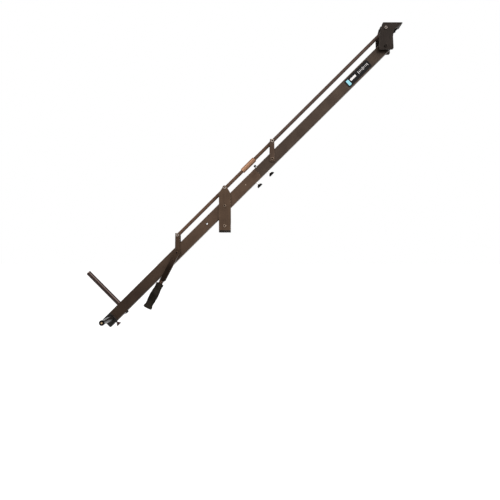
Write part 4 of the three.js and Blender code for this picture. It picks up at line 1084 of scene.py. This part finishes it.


# Tilt lever: an anodised aluminium bar against the near rear link, held by the link's lower screw
# and one more. Painted shade darkens it towards its lower end, chamfered where the handle goes in.
# Its colour darkens towards the lower end: painted shade.
dark_lever = finish(
    "dark_lever", (54, 41, 32), (67, 53, 43), 0.46, 0.85, grain=(9, 800, 800),
    rub=(98, 80, 67), painted_shade_span=(0, 0.085, 0.27), shine=0.1,
)
lever_low, lever_high = extent("handle_lever", lever)
lever_bevel = 0.005
lever_ring = ring_of(
    (lever_low.x, lever_low.z), (lever_high.x, lever_low.z), (lever_high.x, lever_high.z - lever_bevel),
    (lever_high.x - lever_bevel, lever_high.z), (lever_low.x, lever_high.z),
)
plate(
    "tilt_lever", lever_ring, "Y",
    dark_lever, lever, "rear_link", "dark_anodised", "handle_lever", edge=0.0012,
)
fitted_screw("lever_cap_screw", small_screw, dark_steel, lever, "rear_link", "bronze_steel", "lever_screw")


# Handle: a dark steel rod with two collar rings, screwed into the lever's end, and a moulded rubber
# grip on it with a flange at each end and fine ribs round it.
handle_splay = 4
handle_offset = 0.0035
handle = (
    lever @ moved(lever_high.x, (lever_low.y + lever_high.y) / 2, -handle_offset)
    @ spun(-handle_splay, "Z")
)
grip_low, grip_high = extent("handle_grip", handle)
rod_low, rod_high = extent("handle_rod", handle)
handle_radius = 0.006
collar = rod_high.z
collar_round = 0.0008
collar_edge = collar - collar_round
groove_radius = 0.0095
groove_half = 0.0015
groove_rim = 0.0023
collar_start = seat + collar * math.sin(math.radians(handle_splay))
collar_middle = (collar_start + grip_low.x - seat) / 2
rod_end_at = grip_low.x + 0.02
rear_collar = [
    (collar_start, handle_radius), (collar_start, collar_edge), (collar_start + collar_round, collar),
    (collar_middle - groove_rim, collar), (collar_middle - groove_half, collar_edge),
    (collar_middle - groove_half, groove_radius),
]
collar_rod = turned(
    "X", (rod_low.x, 0), (rod_low.x, handle_radius), *mirrored(rear_collar, collar_middle),
    (rod_end_at, handle_radius), (rod_end_at, 0),
)
add("handle_collar_rod", collar_rod, dark_steel, handle, "rear_link", "bronze_steel", "handle_rod")
grip_rubber = finish(
    "grip_rubber", (12, 10, 7), (21, 17, 13), 0.75, 0, grain=900, relief=0.3, rub=(44, 39, 33),
    shine=0.05,
)
grip_length = grip_high.x - grip_low.x
grip_shares = [
    (0, 0.0196), (0.055, 0.01975), (0.1, 0.0188), (0.2, 0.01885), (0.32, 0.0209), (0.49, 0.0225),
    (0.66, 0.0213), (0.8, 0.0195), (0.87, 0.0197), (0.93, 0.0226), (1, 0.02275),
]


def grip_radius(share):
    """The grip's radius at a share of its length, eased between the radii it is drawn through."""
    for (start, near), (end, far) in zip(grip_shares, grip_shares[1:]):
        if share <= end:
            way = (share - start) / (end - start)
            return near + (far - near) * way * way * (3 - 2 * way)


rib_start = 0.085
rib_end = 0.9
rib_count = 22
rib_depth = 0.0009
rib_fade = 40
end_round = 0.0035
end_steps = 6
grip_steps = 260
grip_profile = [(grip_low.x, 0.0062), (grip_low.x, 0.0188), (grip_low.x + 0.0008, 0.0196)]
for step in range(2, grip_steps):
    share = step / grip_steps
    at = grip_low.x + grip_length * share
    if at > grip_high.x - end_round:
        break
    ribbed = min(1, max(0, (share - rib_start) * rib_fade)) * min(1, max(0, (rib_end - share) * rib_fade))
    wave = abs(math.sin(math.pi * rib_count * (share - rib_start) / (rib_end - rib_start)))
    grip_profile.append((at, grip_radius(share) - rib_depth * ribbed * (1 - wave ** 0.6)))
for step in range(end_steps + 1):
    turn = math.pi / 2 * step / end_steps
    grip_profile.append((
        grip_high.x - end_round + end_round * math.sin(turn),
        grip_shares[-1][1] - end_round * (1 - math.cos(turn)),
    ))
grip_profile.append((grip_high.x, 0))
grip = turned("X", *grip_profile, steps=56)
add("rubber_grip", grip, grip_rubber, handle, "rear_link", "grip_rubber", "handle_grip")


# Camera head: two black anodised aluminium plates that stand outside the beam and keep upright.
# They narrow to a waist, and lean forward at the top to carry the camera platform.
def eased(ring, radius):
    """A ring with its corners rounded off, each by a curve that starts a radius away from it."""
    soft = []
    for here, corner in enumerate(ring):
        before = ring[here - 1] - corner
        after = ring[(here + 1) % len(ring)] - corner
        reach = min(radius, before.length / 3, after.length / 3)
        start = corner + before.normalized() * reach
        end = corner + after.normalized() * reach
        soft += [start, *bend(start, corner, end, 5), end]
    return soft


head = joint_place("head_pivot")
head_black = finish(
    "head_black", (31, 26, 23), (41, 35, 31), 0.45, 0.7, grain=(800, 800, 10),
    rub=(62, 54, 49), shine=0.15, painted_socket_shade=(14, 11, 10),
)
head_high = extent("head_plate_near", head)[1]
head_corner = 0.004
head_ring = eased(
    ring_of(
        (-0.033, -0.022), (0.036, -0.0195), (0.041, -0.012), (0.038, 0.048), (0.0425, 0.082),
        (head_high.x, head_high.z), (-0.0175, head_high.z), (-0.035, 0.048),
    ),
    head_corner,
)
head_inner = 0.034
head_outer = 0.039
for side_name, side in (("near", -1), ("far", 1)):
    add(
        f"{side_name}_head_plate", bossed_plate(head_ring, head_inner, head_outer, side),
        head_black, head, "head", "head_black", f"head_plate_{side_name}",
    )


# Camera platform: a black anodised plate over both head plates, with two bars under it that are
# screwed to them, a plain hole for the knobbed screw and a rear notch for the upper rod.
screw_at = middle("camera_screw", head).x
platform_low, platform_high = extent("camera_platform", head)
deck_thickness = 0.005
deck_low = platform_high.z - deck_thickness
notch_side = 0.012
notch_floor = -0.004
deck_half = (platform_high.y - platform_low.y) / 2
deck_corner = 0.004
deck_ring = ring_of(
    (platform_low.x, -notch_side), (platform_low.x, -deck_half),
    (platform_high.x, -deck_half), (platform_high.x, deck_half),
    (platform_low.x, deck_half), (platform_low.x, notch_side),
    (notch_floor, notch_side), (notch_floor, -notch_side),
)
deck = slab(eased(deck_ring, deck_corner), deck_low, platform_high.z, "Z", edge=block_edge)
deck_overhang = 0.026
bar_front = platform_high.x - deck_overhang
bar_ring = oblong(platform_low.x, platform_low.z, bar_front, deck_low + seat)
bar_inner = 0.0287
bar_outer = 0.0337
bars = [
    slab(bar_ring, *sorted((side * bar_inner, side * bar_outer)), "Y", edge=0.0005) for side in (-1, 1)
]
hole_radius = 0.0037
screw_hole = barred(hole_radius, deck_low - 0.01, deck_low + 0.02, "Z", (screw_at, 0, 0))
platform = carve(joined(deck, *bars), screw_hole)
add("camera_deck", platform, head_black, head, "head", "head_black", "camera_platform")


# Camera screw: a quarter-inch threaded steel stud with a black knurled knob. It hangs in the
# platform's hole and is turned from below.
knob_low, knob_high = extent("camera_screw", head)
knob_radius = (knob_high.x - knob_low.x) / 2
knob_height = 0.013
knob_top = knob_low.z + knob_height
flutes = 24
flute_depth = 0.0005


def fluted(turn):
    return knob_radius - flute_depth * (1 + math.cos(flutes * turn))


camera_knob = turned(
    "Z", (knob_low.z, 0), (knob_low.z, knob_radius * 0.55), (knob_low.z + 0.0004, knob_radius * 0.6),
    (knob_low.z + 0.0004, knob_radius * 0.85), (knob_low.z + 0.0018, fluted),
    (knob_top - 0.0018, fluted), (knob_top - 0.0003, knob_radius * 0.86),
    (knob_top, knob_radius * 0.8), (knob_top, 0.0042), (knob_top, 0), steps=144,
)
screw_stand = head @ moved(x=screw_at)
add("camera_knob", camera_knob, knob_black, screw_stand, "camera_screw", "black_plastic", "camera_screw")
stud_neck = 0.0031
quarter_inch = 0.00635
threads_to_the_inch = 20
camera_stud = turned(
    "Z", (knob_top - 0.001, 0), (knob_top - 0.001, stud_neck), (knob_top + 0.004, stud_neck),
    *thread(
        quarter_inch / 2, knob_top + 0.005, knob_high.z - 0.0006,
        4 * quarter_inch / threads_to_the_inch, 0.0005,
    ),
    (knob_high.z, 0.0024), (knob_high.z, 0), steps=32,
)
add("camera_stud", camera_stud, zinc_steel, screw_stand, "camera_screw", "bright_steel")


# Head screws: steel cap screws with lock nuts, as on the links. They are blacked at the beam's end
# and plated at the upper rods, in a darker copy of the plating that is painted shade.
# A darker copy of the plated steel for the upper pin: painted shade at the top of the head.
zinc_painted_shade = finish(
    "zinc_painted_shade", (100, 91, 85), (132, 122, 115), 0.34, 1, grain=260,
    rub=(176, 166, 158), painted_socket_shade=(34, 29, 27),
)
add_pin("head_pin", head, "head", head_black, "head_black")
add_pin("head_upper_pin", head, "head", zinc_painted_shade, "bright_steel")
